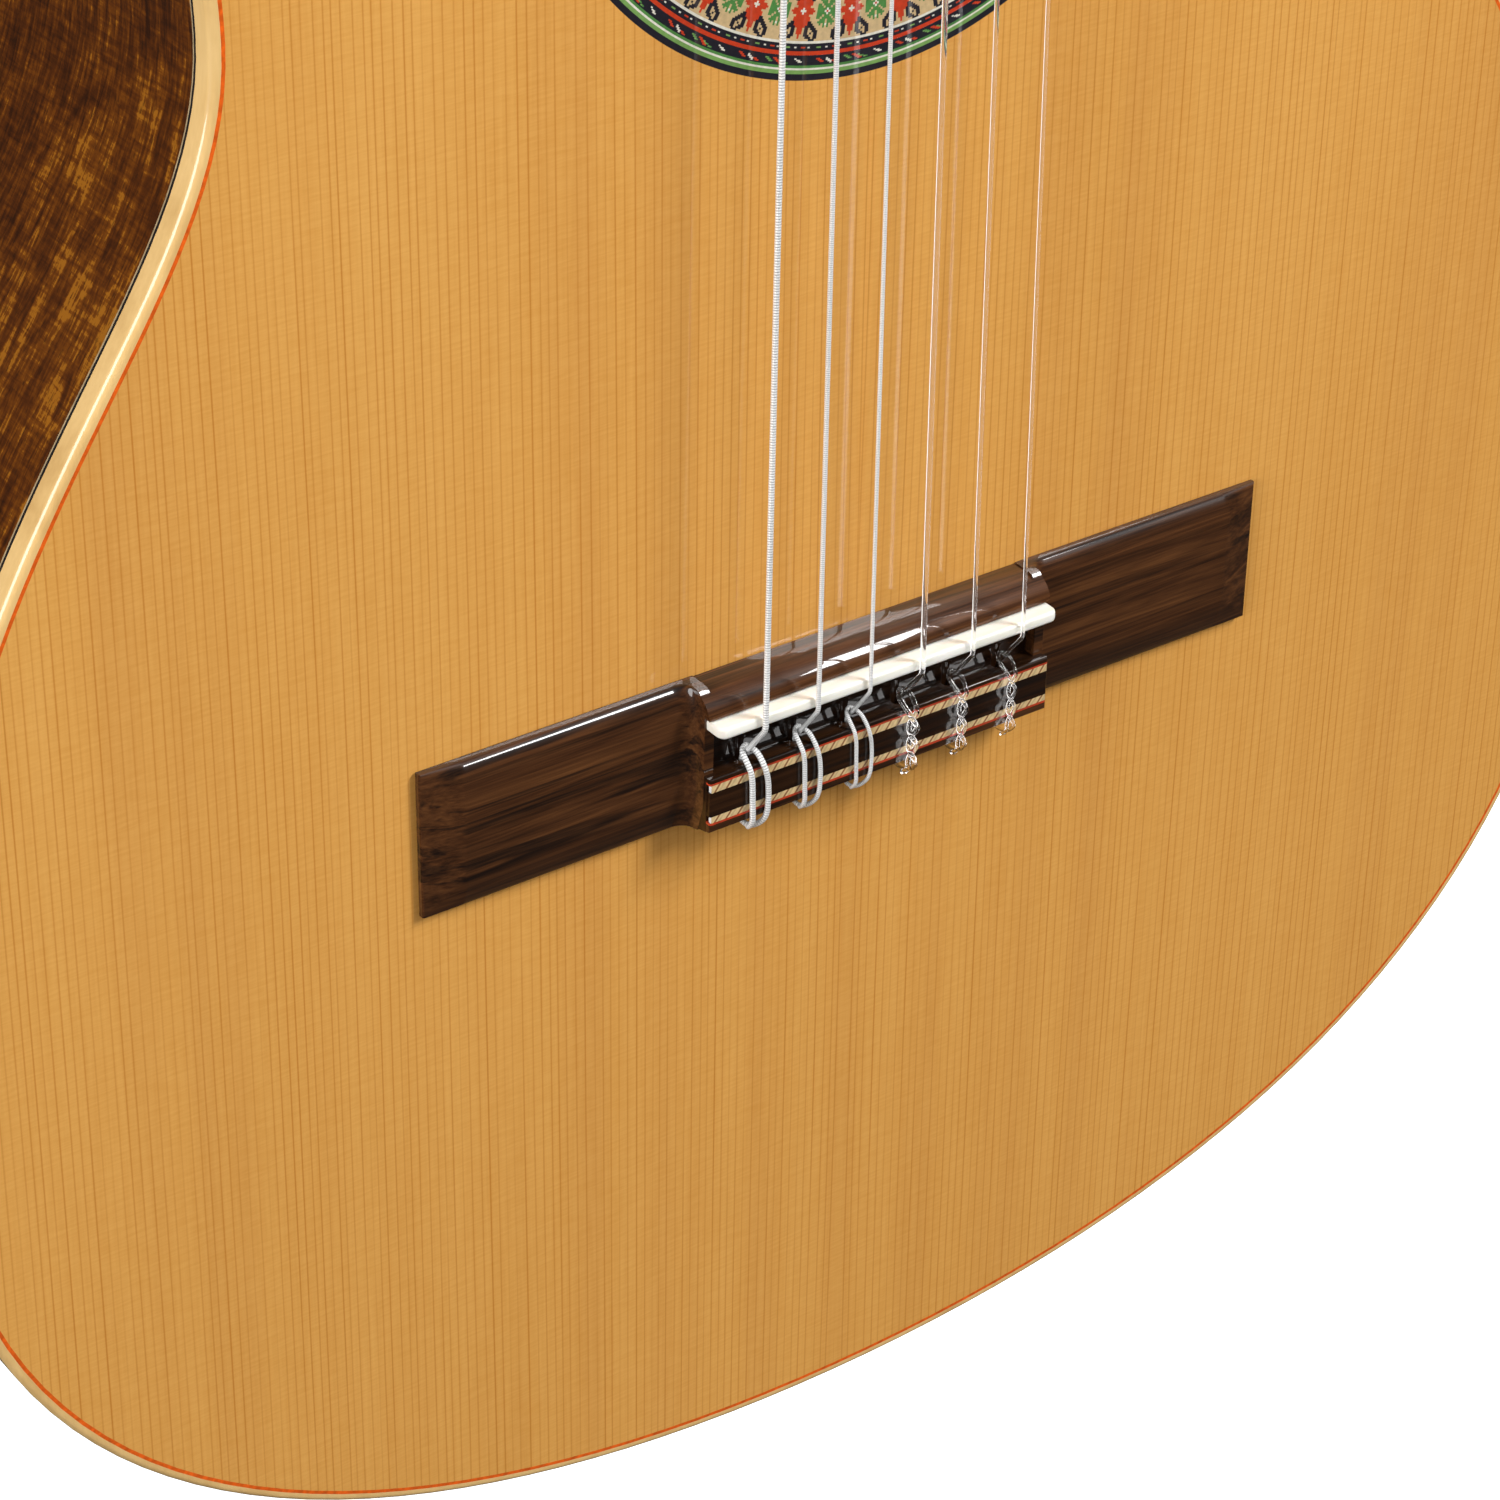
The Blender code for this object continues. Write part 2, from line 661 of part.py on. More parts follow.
def add_fret(bm, z, top):
    """One fret, or the two ends of the last one, which the soundhole interrupts."""
    half = board_half_width(z) - GAP
    spans = [(-half, half)]
    radius = SOUNDHOLE_RADIUS + BOARD_END_CLEARANCE + FRET_WIDTH
    if z - FRET_WIDTH < SOUNDHOLE_Z + radius:
        broken = math.sqrt(radius**2 - (z - SOUNDHOLE_Z) ** 2)
        spans = [(-half, -broken), (broken, half)]
    wide, sunk = FRET_WIDTH / 2, 0.0008
    section = [(-wide, sunk), (wide, sunk), (wide, -0.0003)]
    section += [(wide * 0.5, -FRET_HEIGHT), (-wide * 0.5, -FRET_HEIGHT), (-wide, -0.0003)]
    for start, end in spans:
        rings = [[(x, top + y, z + across) for across, y in section] for x in (start, end)]
        wire = loft(rings)
        bmesh.ops.recalc_face_normals(wire, faces=wire.faces)
        mesh = bpy.data.meshes.new("fret_wire")
        wire.to_mesh(mesh)
        wire.free()
        bm.from_mesh(mesh)
        bpy.data.meshes.remove(mesh)


def make_nut(bone):
    """The nut slopes down towards the headstock."""
    low, high = -GAP, -GAP - NUT_HEIGHT
    start, end = GAP, NUT_LENGTH
    profile = [(low, start), (high, start), (high, start + 0.0016)]
    profile += [(high + 0.0018, end), (low, end)]
    half = NUT_WIDTH / 2
    points = [(-half, y, z) for y, z in profile]
    solid("nut", prism(points, (2 * half, 0, 0)), bone)


# ---------------------------------------------------------------- headstock


def head_frame():
    """The headstock's frame: X across, Y deep into it and Z up along it."""
    frame = bpy.data.objects.new("head_frame", None)
    bpy.context.scene.collection.objects.link(frame)
    frame.location = (0, 0, NUT_LENGTH)
    frame.rotation_euler = (-HEAD_ANGLE, 0, 0)
    return frame


def head_outline():
    """Half the headstock's outline as (x, up), from the nut to its crown."""
    half = HEAD_WIDTH / 2
    shoulder = bezier(
        (NUT_WIDTH / 2, 0),
        (NUT_WIDTH / 2 + 0.001, SHOULDER_UP * 0.6),
        (half, SHOULDER_UP * 0.55),
        (half, SHOULDER_UP),
        5,
    )
    crown = bezier(
        (half + 0.002, HEAD_LENGTH - 0.018),
        (half - 0.006, HEAD_LENGTH - 0.006),
        (half - 0.020, HEAD_LENGTH - 0.012),
        (0, HEAD_LENGTH),
        8,
    )
    side = [Vector((half, SHOULDER_UP)), Vector((half, HEAD_LENGTH - 0.042))]
    return [p for p, _ in shoulder] + side + [p for p, _ in crown]


def head_slab(low, high, foot):
    """The headstock's outline between two depths, ending in a level foot at this height above the neck's end."""
    half = head_outline()
    whole = half + [Vector((0, HEAD_LENGTH))]
    whole += [Vector((-p.x, p.y)) for p in reversed(half)]
    bm = prism([(p.x, low, p.y) for p in whole], (0, high - low, 0))
    for vert in bm.verts:
        if vert.co.z < 1e-6:
            vert.co.z = (foot + vert.co.y * math.sin(HEAD_ANGLE)) / math.cos(HEAD_ANGLE)
    return bm


def slot_cutter(reach):
    """Both string slots, with round ends, as one cutter of two bodies."""
    bm = bmesh.new()
    middle, half = (SLOT_INNER + SLOT_OUTER) / 2, (SLOT_OUTER - SLOT_INNER) / 2
    for side in (-1, 1):
        outline = []
        for centre, first in ((SLOT_END - half, 0), (SLOT_START + half, math.pi)):
            for i in range(9):
                a = first + math.pi * i / 8
                x = side * middle + half * math.cos(a)
                outline.append((x, -reach, centre + half * math.sin(a)))
        piece = prism(outline, (0, 2 * reach, 0))
        bmesh.ops.recalc_face_normals(piece, faces=piece.faces)
        mesh = bpy.data.meshes.new("slot")
        piece.to_mesh(mesh)
        piece.free()
        bm.from_mesh(mesh)
        bpy.data.meshes.remove(mesh)
    return bm


def ramp_cutter():
    """The two ramps that lead the strings down into the slots."""
    bm = bmesh.new()
    above = -0.006
    for side in (-1, 1):
        start, end = SLOT_INNER + 0.0002, SLOT_OUTER - 0.0002
        low, high = sorted((side * start, side * end))
        flat = SLOT_START + 0.010
        profile = [(above, RAMP_START), (-VENEER_THICKNESS, RAMP_START)]
        profile += [(RAMP_DEPTH, SLOT_START + 0.002), (RAMP_DEPTH, flat), (above, flat)]
        piece = prism([(low, y, z) for y, z in profile], (high - low, 0, 0))
        bmesh.ops.recalc_face_normals(piece, faces=piece.faces)
        mesh = bpy.data.meshes.new("ramp")
        piece.to_mesh(mesh)
        piece.free()
        bm.from_mesh(mesh)
        bpy.data.meshes.remove(mesh)
    return bm


def bore_cutter():
    """The rollers' bores: through each outer wall, and blind in the rib between the slots."""
    outer, inner = bmesh.new(), bmesh.new()
    for side in (-1, 1):
        for up in ROLLER_UPS:
            add_cylinder(
                outer,
                (side * (SLOT_OUTER - 0.002), ROLLER_DEEP, up),
                (side * (HEAD_WIDTH / 2 + 0.002), ROLLER_DEEP, up),
                SLEEVE_RADIUS + SLEEVE_BORE_CLEARANCE,
                14,
            )
            add_cylinder(
                inner,
                (side * (SLOT_INNER - PIVOT_LENGTH - GAP), ROLLER_DEEP, up),
                (side * (SLOT_INNER + 0.001), ROLLER_DEEP, up),
                PIVOT_RADIUS + SLEEVE_BORE_CLEARANCE,
                12,
            )
    return outer, inner


def make_headstock(frame, cedar, tonewood):
    slots = helper("slot_cutter", slot_cutter(0.03), frame)
    ramps = helper("ramp_cutter", ramp_cutter(), frame)
    outer, inner = bore_cutter()
    head = solid("headstock", head_slab(0, HEAD_THICKNESS, GAP), cedar, frame)
    boolean(head, slots, "DIFFERENCE")
    boolean(head, ramps, "DIFFERENCE")
    boolean(head, helper("wall_bore_cutter", outer, frame), "DIFFERENCE")
    boolean(head, helper("pivot_bore_cutter", inner, frame), "DIFFERENCE")
    veneer = solid(
        "headstock_veneer",
        head_slab(-GAP - VENEER_THICKNESS, -GAP, 2 * GAP),
        tonewood,
        frame,
    )
    boolean(veneer, slots, "DIFFERENCE")
    boolean(veneer, ramps, "DIFFERENCE")


# ---------------------------------------------------------------- tuning machines


def gear_wheel():
    """A spur gear about X, with the gap between two teeth facing the worm below it."""
    root = GEAR_PITCH_RADIUS - TOOTH_DEDENDUM
    tip = GEAR_PITCH_RADIUS + TOOTH_ADDENDUM
    outline = []
    for tooth in range(GEAR_TEETH):
        middle = -math.pi / 2 + math.tau * (tooth + 0.5) / GEAR_TEETH
        for radius, width in ((root, -TOOTH_WIDTH_ROOT), (tip, -TOOTH_WIDTH_TIP),
                              (tip, TOOTH_WIDTH_TIP), (root, TOOTH_WIDTH_ROOT)):
            a = middle + width / 2 / radius
            outline.append((GEAR_X, radius * math.cos(a), radius * math.sin(a)))
    return prism(outline, (GEAR_THICKNESS, 0, 0))


def roller_profile():
    """(x, radius) along one roller: its pivot, its string sleeve, its spindle and the gear's screw."""
    sleeve_start, sleeve_end = SLOT_INNER + GAP, PLATE_X - GAP
    pivot_start = SLOT_INNER - PIVOT_LENGTH
    screw_start = GEAR_X + GEAR_THICKNESS - GAP
    return [
        (pivot_start, 0),
        (pivot_start, PIVOT_RADIUS),
        (sleeve_start, PIVOT_RADIUS),
        (sleeve_start, SLEEVE_RADIUS),
        (sleeve_end, SLEEVE_RADIUS),
        (sleeve_end, SPINDLE_RADIUS),
        (screw_start, SPINDLE_RADIUS),
        (screw_start, SPINDLE_RADIUS + 0.0006),
        (screw_start + 0.0012, SPINDLE_RADIUS + 0.0003),
        (screw_start + 0.0012, 0),
    ]


def make_rollers(frame, finish):
    """Six string rollers, each with its gear: three for each side of the headstock."""
    for side, label in ((-1, "bass"), (1, "treble")):
        turn = Matrix.Diagonal((side, 1, 1, 1))
        gear = gear_wheel()
        bmesh.ops.transform(gear, matrix=turn, verts=gear.verts)
        blank = helper(f"gear_blank_{label}", gear, frame)
        for number, up in enumerate(ROLLER_UPS):
            body = turned(roller_profile(), 14)
            bmesh.ops.transform(body, matrix=turn, verts=body.verts)
            roller = solid(f"roller_{label}_{number + 1}", body, finish, frame)
            roller.location = (0, ROLLER_DEEP, up)
            own = blank if number == 0 else place(f"{blank.name}_{number + 1}", blank.data, None, frame)
            own.location = roller.location
            own.hide_render = True
            own.display_type = "WIRE"
            boolean(roller, own, "UNION")
            smooth(roller)


def worm_thread():
    """One helical thread about Y, centred on the origin, with a crossing that faces the gear above it."""
    pitch = math.tau * GEAR_PITCH_RADIUS / GEAR_TEETH
    root = WORM_PITCH_RADIUS - TOOTH_DEDENDUM
    tip = WORM_PITCH_RADIUS + TOOTH_ADDENDUM
    sunk = root - 0.0004
    section = [(sunk, -THREAD_WIDTH_ROOT), (root, -THREAD_WIDTH_ROOT), (tip, -THREAD_WIDTH_TIP),
               (tip, THREAD_WIDTH_TIP), (root, THREAD_WIDTH_ROOT), (sunk, THREAD_WIDTH_ROOT)]
    steps = round(WORM_TURNS * 9)
    rings = []
    for i in range(steps + 1):
        turns = WORM_TURNS * (i / steps - 0.5)
        # Turning from +Z towards +X about +Y is the right-handed way.
        a = math.tau * turns
        rings.append(
            [
                (radius * math.sin(a), pitch * turns + width / 2, radius * math.cos(a))
                for radius, width in section
            ]
        )
    return loft(rings)


def make_worms(frame, steel):
    """Each worm with its shaft, which runs from the front lug back into its button."""
    root = WORM_PITCH_RADIUS - TOOTH_DEDENDUM
    front = -LUG_OFFSET - LUG_THICKNESS / 2 - GAP
    rear = BUTTON_START + BUTTON_BORE_DEPTH - ROLLER_DEEP - GAP
    core_end = LUG_OFFSET - LUG_THICKNESS / 2 - GAP
    profile = [
        (front, 0),
        (front, WORM_SHAFT_RADIUS),
        (-core_end, WORM_SHAFT_RADIUS),
        (-core_end, root),
        (core_end, root),
        (core_end, WORM_SHAFT_RADIUS),
        (rear, WORM_SHAFT_RADIUS),
        (rear, 0),
    ]
    turn = Matrix.Rotation(math.pi / 2, 4, "Z")  # the turned profile's X becomes Y
    for side, label in ((-1, "bass"), (1, "treble")):
        for number, up in enumerate(ROLLER_UPS):
            body = turned(profile, 12)
            bmesh.ops.transform(body, matrix=turn, verts=body.verts)
            worm = solid(f"worm_{label}_{number + 1}", body, steel, frame)
            worm.location = (side * WORM_X, ROLLER_DEEP, up - WORM_DROP)
            thread = helper(f"thread_{label}_{number + 1}", worm_thread(), frame)
            thread.location = worm.location
            boolean(worm, thread, "UNION")
            smooth(worm)


def make_buttons(frame, pearl):
    """Six finger buttons, flattened ovals with a blind bore for the worm's shaft."""
    for side, label in ((-1, "bass"), (1, "treble")):
        for number, up in enumerate(ROLLER_UPS):
            bm = bmesh.new()
            bmesh.ops.create_uvsphere(bm, u_segments=14, v_segments=8, radius=0.5)
            size = Matrix.Diagonal((BUTTON_WIDTH, BUTTON_THICKNESS, BUTTON_LENGTH, 1))
            turn = Matrix.Rotation(-math.pi / 2, 4, "X")
            bmesh.ops.transform(bm, matrix=turn @ size, verts=bm.verts)
            button = solid(f"button_{label}_{number + 1}", bm, pearl, frame)
            button.location = (
                side * WORM_X,
                BUTTON_START + BUTTON_LENGTH / 2,
                up - WORM_DROP,
            )
            bore = bmesh.new()
            add_cylinder(
                bore,
                (0, -BUTTON_LENGTH, 0),
                (0, BUTTON_BORE_DEPTH - BUTTON_LENGTH / 2, 0),
                WORM_SHAFT_RADIUS + GAP,
                12,
            )
            cutter = helper(f"button_bore_{label}_{number + 1}", bore, frame)
            cutter.location = button.location
            boolean(button, cutter, "DIFFERENCE")
            smooth(button)


def make_tuner_plates(frame, brass):
    """A plate on each side of the headstock, with two lugs for each worm and a hole for each roller."""
    for side, label in ((-1, "bass"), (1, "treble")):
        low, high = sorted((side * PLATE_X, side * (PLATE_X + PLATE_THICKNESS)))
        bm = bmesh.new()
        half = PLATE_DEPTH / 2
        add_box(
            bm,
            (low, ROLLER_DEEP - half, PLATE_LOW),
            (high, ROLLER_DEEP + half, PLATE_HIGH),
        )
        plate = solid(f"tuner_plate_{label}", bm, brass, frame)
        lugs, holes = bmesh.new(), bmesh.new()
        for up in ROLLER_UPS:
            worm_up = up - WORM_DROP
            for offset in (-LUG_OFFSET, LUG_OFFSET):
                start = side * (PLATE_X + PLATE_THICKNESS / 2)
                end = side * (WORM_X + LUG_HALF_WIDTH)
                middle = ROLLER_DEEP + offset
                add_box(
                    lugs,
                    (min(start, end), middle - LUG_THICKNESS / 2, worm_up - LUG_HALF_WIDTH),
                    (max(start, end), middle + LUG_THICKNESS / 2, worm_up + LUG_HALF_WIDTH),
                )
            add_cylinder(
                holes,
                (side * (PLATE_X - 0.002), ROLLER_DEEP, up),
                (side * (PLATE_X + PLATE_THICKNESS + 0.002), ROLLER_DEEP, up),
                SPINDLE_RADIUS + SLEEVE_BORE_CLEARANCE,
                12,
            )
            add_cylinder(
                holes,
                (side * WORM_X, ROLLER_DEEP - 0.012, worm_up),
                (side * WORM_X, ROLLER_DEEP + 0.012, worm_up),
                WORM_SHAFT_RADIUS + LUG_BORE_CLEARANCE,
                12,
            )
        boolean(plate, helper(f"lugs_{label}", lugs, frame), "UNION")
        boolean(plate, helper(f"plate_holes_{label}", holes, frame), "DIFFERENCE")


# ---------------------------------------------------------------- bridge and strings


def make_bridge(rosewood):
    """Two low wings and a tall middle that holds the saddle and the tie block. Heights stand out along -Y."""
    front, rear = SADDLE_Z + BRIDGE_FRONT, SADDLE_Z + BRIDGE_REAR
    half = BRIDGE_LENGTH / 2
    section = [(front, 0), (front, WING_EDGE_FRONT)]
    rounding = 0.0036
    for i in range(1, 5):
        a = math.pi / 2 * i / 4
        rise = (WING_HEIGHT_FRONT - WING_EDGE_FRONT) * math.sin(a)
        section.append((front - rounding * (1 - math.cos(a)), WING_EDGE_FRONT + rise))
    section += [
        (rear + WING_REAR_BEVEL, WING_HEIGHT_REAR),
        (rear, WING_EDGE_REAR),
        (rear, 0),
    ]
    ends = ((-half, True), (WING_END_BEVEL - half, False), (half - WING_END_BEVEL, False), (half, True))
    rings = []
    for x, thin in ends:
        least = WING_EDGE_FRONT
        rings.append([(x, -GAP - (min(h, least) if thin else h), z) for z, h in section])
    bridge = solid("bridge", loft(rings), rosewood)
    middle = bmesh.new()
    profile = [(front - 0.0002, 0.0)]
    for i in range(6):
        a = math.pi / 2 * i / 5
        rise = CREST_HEIGHT - 0.0020
        profile.append((front - 0.0002 - CREST_ROUNDING * (1 - math.cos(a)), 0.0020 + rise * math.sin(a)))
    slot_front, slot_rear = SADDLE_Z + SADDLE_THICKNESS / 2 + GAP, SADDLE_Z - SADDLE_THICKNESS / 2 - GAP
    tie_front = SADDLE_Z + TIE_BLOCK_FRONT
    profile += [
        (slot_front, CREST_HEIGHT),
        (slot_front, SLOT_FLOOR),
        (slot_rear, SLOT_FLOOR),
        (slot_rear, LEDGE_HEIGHT),
        (tie_front + 0.0010, CHANNEL_HEIGHT),
        (tie_front, CHANNEL_HEIGHT),
        (tie_front, TIE_BLOCK_HEIGHT),
        (rear + TIE_BLOCK_REAR_LEAN, TIE_BLOCK_HEIGHT),
        (rear - 0.0002, 0.0018),
        (rear - 0.0002, 0.0),
    ]
    half = CENTRE_LENGTH / 2
    points = [(-half, -GAP - h, z) for z, h in profile]
    middle = helper("bridge_middle", prism(points, (2 * half, 0, 0)))
    boolean(bridge, middle, "UNION")
    holes = bmesh.new()
    for x in string_places(SPREAD_AT_SADDLE):
        y = -GAP - TIE_HOLE_HEIGHT
        add_cylinder(holes, (x, y, tie_front + 0.004), (x, y, rear - 0.003), TIE_HOLE_RADIUS, 10)
    boolean(bridge, helper("tie_hole_cutter", holes), "DIFFERENCE")


def make_saddle(bone):
    bm = bmesh.new()
    half = CENTRE_LENGTH / 2
    add_box(
        bm,
        (-half, -SADDLE_TOP, SADDLE_Z - SADDLE_THICKNESS / 2),
        (half, -GAP - SLOT_FLOOR - GAP, SADDLE_Z + SADDLE_THICKNESS / 2),
    )
    solid("saddle", bm, bone)


def string_places(spread):
    """The six strings' x at even spacing, from the bass side."""
    return [spread * (i / (STRING_COUNT - 1) - 0.5) for i in range(STRING_COUNT)]


def from_head(x, deep, up):
    """A point in the headstock's frame as a point in space."""
    c, s = math.cos(HEAD_ANGLE), math.sin(HEAD_ANGLE)
    return Vector((x, up * s + deep * c, NUT_LENGTH + up * c - deep * s))


def string_route(i):
    """The points that string i follows, from its coil on the roller over the nut and the saddle to its tie."""
    at_nut, at_saddle = string_places(SPREAD_AT_NUT)[i], string_places(SPREAD_AT_SADDLE)[i]
    radius = STRING_DIAMETERS[i] / 2
    nut_y = -GAP - NUT_HEIGHT - GAP - radius
    route = roller_coil(i, radius)
    route += [
        Vector((at_nut, nut_y + 0.0004, 0.0024)),
        Vector((at_nut, nut_y, 0.0012)),
        Vector((at_nut, nut_y, 0.0002)),
    ]
    tie = bass_tie(radius) if i < STRING_COUNT / 2 else treble_tie(radius)
    over_saddle = SADDLE_TOP + GAP + radius
    behind = SADDLE_THICKNESS / 2
    hole = GAP + TIE_HOLE_HEIGHT
    down = [
        (0, over_saddle, behind),
        (0, over_saddle, -behind),
        (0, hole + 0.0001, TIE_BLOCK_FRONT + 0.0003),
        (0, hole, TIE_BLOCK_FRONT - 0.0007),
        (0, hole, BRIDGE_REAR + 0.0008),
    ]
    route += [Vector((at_saddle + x, -h, SADDLE_Z + z)) for x, h, z in down + tie]
    return route


def roller_coil(i, radius):
    """The string's turns round its roller, from the inner end to where it leaves for the nut."""
    side = -1 if i < STRING_COUNT / 2 else 1
    rank = i if side < 0 else STRING_COUNT - 1 - i  # the outer strings go to the rollers nearest the nut
    leaves_at = (0.0178, 0.0160, 0.0135)[rank]
    orbit = SLEEVE_RADIUS + GAP + radius
    step = 2 * radius + GAP
    count = round(COIL_TURNS * 10)
    coil = []
    for k in range(count, -1, -1):
        turns = COIL_TURNS * k / count
        a = math.tau * turns
        x = side * (leaves_at + step * turns)
        coil.append(
            from_head(x, ROLLER_DEEP - orbit * math.cos(a), ROLLER_UPS[rank] + orbit * math.sin(a))
        )
    return coil


def bass_tie(radius):
    """A plain loop: up behind the tie block, forward over it, round the string and back. As (x, height, z)."""
    over = GAP + TIE_BLOCK_HEIGHT + GAP + radius
    hole = GAP + TIE_HOLE_HEIGHT
    rear = BRIDGE_REAR
    return [
        (0.0000, hole, rear - 0.0006),
        (0.0001, hole + 0.0013, rear - 0.0010),
        (0.0008, hole + 0.0023, rear - 0.0010),
        (0.0018, over - 0.0010, rear - 0.0002),
        (0.0024, over - 0.0003, rear + 0.0010),
        (0.0027, over, rear + 0.0026),
        (0.0029, over, rear + 0.0060),
        (0.0027, over, rear + 0.0090),
        (0.0022, over, rear + 0.0112),
        (0.0018, over - 0.0005, rear + 0.0128),
        (0.0016, over - 0.0020, rear + 0.0143),
        (0.0002, over - 0.0038, rear + 0.0155),
        (-0.0013, over - 0.0026, rear + 0.0150),
        (-0.0014, over - 0.0009, rear + 0.0137),
        (-0.0010, over, rear + 0.0119),
        (-0.0007, over, rear + 0.0095),
        (-0.0005, over, rear + 0.0016),
        (-0.0005, over - 0.0005, rear + 0.0003),
        (-0.0005, over - 0.0015, rear - 0.0005),
    ]


def treble_tie(radius):
    """As the plain loop, but with its two strands twisted round each other over the tie block."""
    apart, half_twists, steps = 0.00075, 3, 12
    lift = radius + GAP / 2
    over = GAP + TIE_BLOCK_HEIGHT + GAP + radius + lift
    hole = GAP + TIE_HOLE_HEIGHT
    rear = BRIDGE_REAR
    start, end = rear + 0.0010, rear + 0.0122
    twist = []
    for k in range(steps + 1):
        a = math.pi * half_twists * k / steps
        twist.append((apart * math.cos(a), lift * math.sin(a), start + (end - start) * k / steps))
    forward = [(x, over + h, z) for x, h, z in twist]
    back = [(-x, over - h, z) for x, h, z in reversed(twist)]
    up = [
        (0.0000, hole, rear - 0.0006),
        (0.0003, hole + 0.0014, rear - 0.0010),
        (0.0007, over - 0.0012, rear - 0.0004),
    ]
    around = [
        (-0.0012, over - 0.0016, rear + 0.0137),
        (-0.0013, over - 0.0032, rear + 0.0151),
        (0.0001, over - 0.0042, rear + 0.0156),
        (0.0014, over - 0.0026, rear + 0.0145),
        (0.0012, over - 0.0010, rear + 0.0132),
    ]
    down = [
        (-0.0008, over - 0.0006, rear - 0.0001),
        (-0.0008, over - 0.0016, rear - 0.0007),
    ]
    return up + forward + around + back + down


def make_strings(steel_wound, nylon):
    for i, name in enumerate(STRING_NAMES):
        curve = bpy.data.curves.new(f"string_{name}", "CURVE")
        curve.dimensions = "3D"
        curve.bevel_depth = STRING_DIAMETERS[i] / 2
        curve.bevel_resolution = 1
        curve.use_fill_caps = True
        route = string_route(i)
        spline = curve.splines.new("POLY")
        spline.points.add(len(route) - 1)
        for point, where in zip(spline.points, route):
            point.co = (*where, 1)
        place(f"string_{name}", curve, steel_wound if i < STRING_COUNT / 2 else nylon)


# ---------------------------------------------------------------- the whole guitar


def main():
    clear_scene()
    spruce = material("spruce", (0.62, 0.36, 0.12), 0.25)
    tonewood = material("side_wood", (0.10, 0.035, 0.010), 0.15)
    maple = material("maple", (0.80, 0.62, 0.36), 0.25)
    cedar = material("neck_cedar", (0.33, 0.13, 0.05), 0.35)
    rosewood = material("rosewood", (0.06, 0.025, 0.012), 0.2)
    ebony = material("ebony", (0.02, 0.016, 0.013), 0.4)
    bone = material("bone", (0.87, 0.84, 0.74), 0.3)
    mosaic = material("rosette_mosaic", (0.35, 0.22, 0.12), 0.3)
    brass = material("tuner_brass", (0.78, 0.57, 0.25), 0.25, 1.0)
    steel = material("worm_steel", (0.70, 0.52, 0.25), 0.25, 1.0)
    roller = material("roller_plastic", (0.80, 0.76, 0.66), 0.35)
    pearl = material("button_pearl", (0.85, 0.82, 0.74), 0.2)
    wound = material("wound_string", (0.80, 0.80, 0.82), 0.3, 1.0)
    nylon = material("nylon_string", (0.85, 0.85, 0.85), 0.1)

    make_soundboard(spruce)
    make_rosette(mosaic)
    make_back(tonewood)
    make_sides(tonewood)
    make_bindings(maple)
    make_linings(cedar)
    make_blocks(cedar)
    make_harmonic_bars(spruce)
    make_fan_braces(spruce)
    make_back_braces(spruce)

    heel_cap_outline = make_neck(cedar)
    make_heel_cap(heel_cap_outline, tonewood)
    make_fingerboard(ebony)
    make_nut(bone)

    frame = head_frame()
    make_headstock(frame, cedar, rosewood)
    make_rollers(frame, roller)
    make_worms(frame, steel)
    make_buttons(frame, pearl)
    make_tuner_plates(frame, brass)

    make_bridge(rosewood)
    make_saddle(bone)
    make_strings(wound, nylon)


main()
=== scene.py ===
"""The looks of a classical guitar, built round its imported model.

Metres, +Z up. The soundboard's face is the plane y = 0 and looks along -Y; the bass side is at -X.
"Down" is the distance from the neck joint towards the tail, "height" how far something stands
out of the soundboard along -Y, and "inset" how far in from the body's edge.
"""

import math

import bmesh
import bpy
from mathutils import Matrix, Vector


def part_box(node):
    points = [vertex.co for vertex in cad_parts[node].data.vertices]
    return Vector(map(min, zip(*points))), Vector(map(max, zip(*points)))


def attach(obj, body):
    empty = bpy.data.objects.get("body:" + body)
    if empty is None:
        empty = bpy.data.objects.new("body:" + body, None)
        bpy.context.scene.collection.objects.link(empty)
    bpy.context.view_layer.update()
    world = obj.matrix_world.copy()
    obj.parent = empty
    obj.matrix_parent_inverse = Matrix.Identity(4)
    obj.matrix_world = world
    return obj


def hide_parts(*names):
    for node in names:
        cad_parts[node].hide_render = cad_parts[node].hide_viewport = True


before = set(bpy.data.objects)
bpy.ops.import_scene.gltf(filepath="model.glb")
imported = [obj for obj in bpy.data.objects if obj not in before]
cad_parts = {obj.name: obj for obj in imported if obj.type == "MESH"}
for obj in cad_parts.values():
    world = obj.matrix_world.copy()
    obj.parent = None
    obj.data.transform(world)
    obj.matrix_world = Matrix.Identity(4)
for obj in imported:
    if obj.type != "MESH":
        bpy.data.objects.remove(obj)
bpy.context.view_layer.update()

ROOT = "guitar"
UP = Vector((0, 0, 1))

# What the frame gives
TAIL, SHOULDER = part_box("top_binding")[0].z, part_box("top_binding")[1].z
LOWER_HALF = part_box("top_binding")[1].x
BODY_LENGTH = SHOULDER - TAIL
BOARD_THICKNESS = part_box("soundboard")[1].y
SADDLE_Z = (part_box("saddle")[0].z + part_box("saddle")[1].z) / 2
SADDLE_TOP = -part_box("saddle")[0].y
HOLE_Z = (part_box("rosette")[0].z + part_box("rosette")[1].z) / 2
BRIDGE_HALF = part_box("bridge")[1].x
BRIDGE_BASE = -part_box("bridge")[1].y

# The body's plan
UPPER_HALF, UPPER_DOWN = 0.144, 0.092
WAIST_HALF, WAIST_DOWN = 0.1242, 0.181
LOWER_DOWN = 0.357
DEPTH_AT_NECK, DEPTH_AT_TAIL = 0.0910, 0.0960
BACK_ARCH = 0.0035
BACK_THICKNESS = 0.0025
SIDE_THICKNESS = 0.0022
PLAN_STEPS = 36

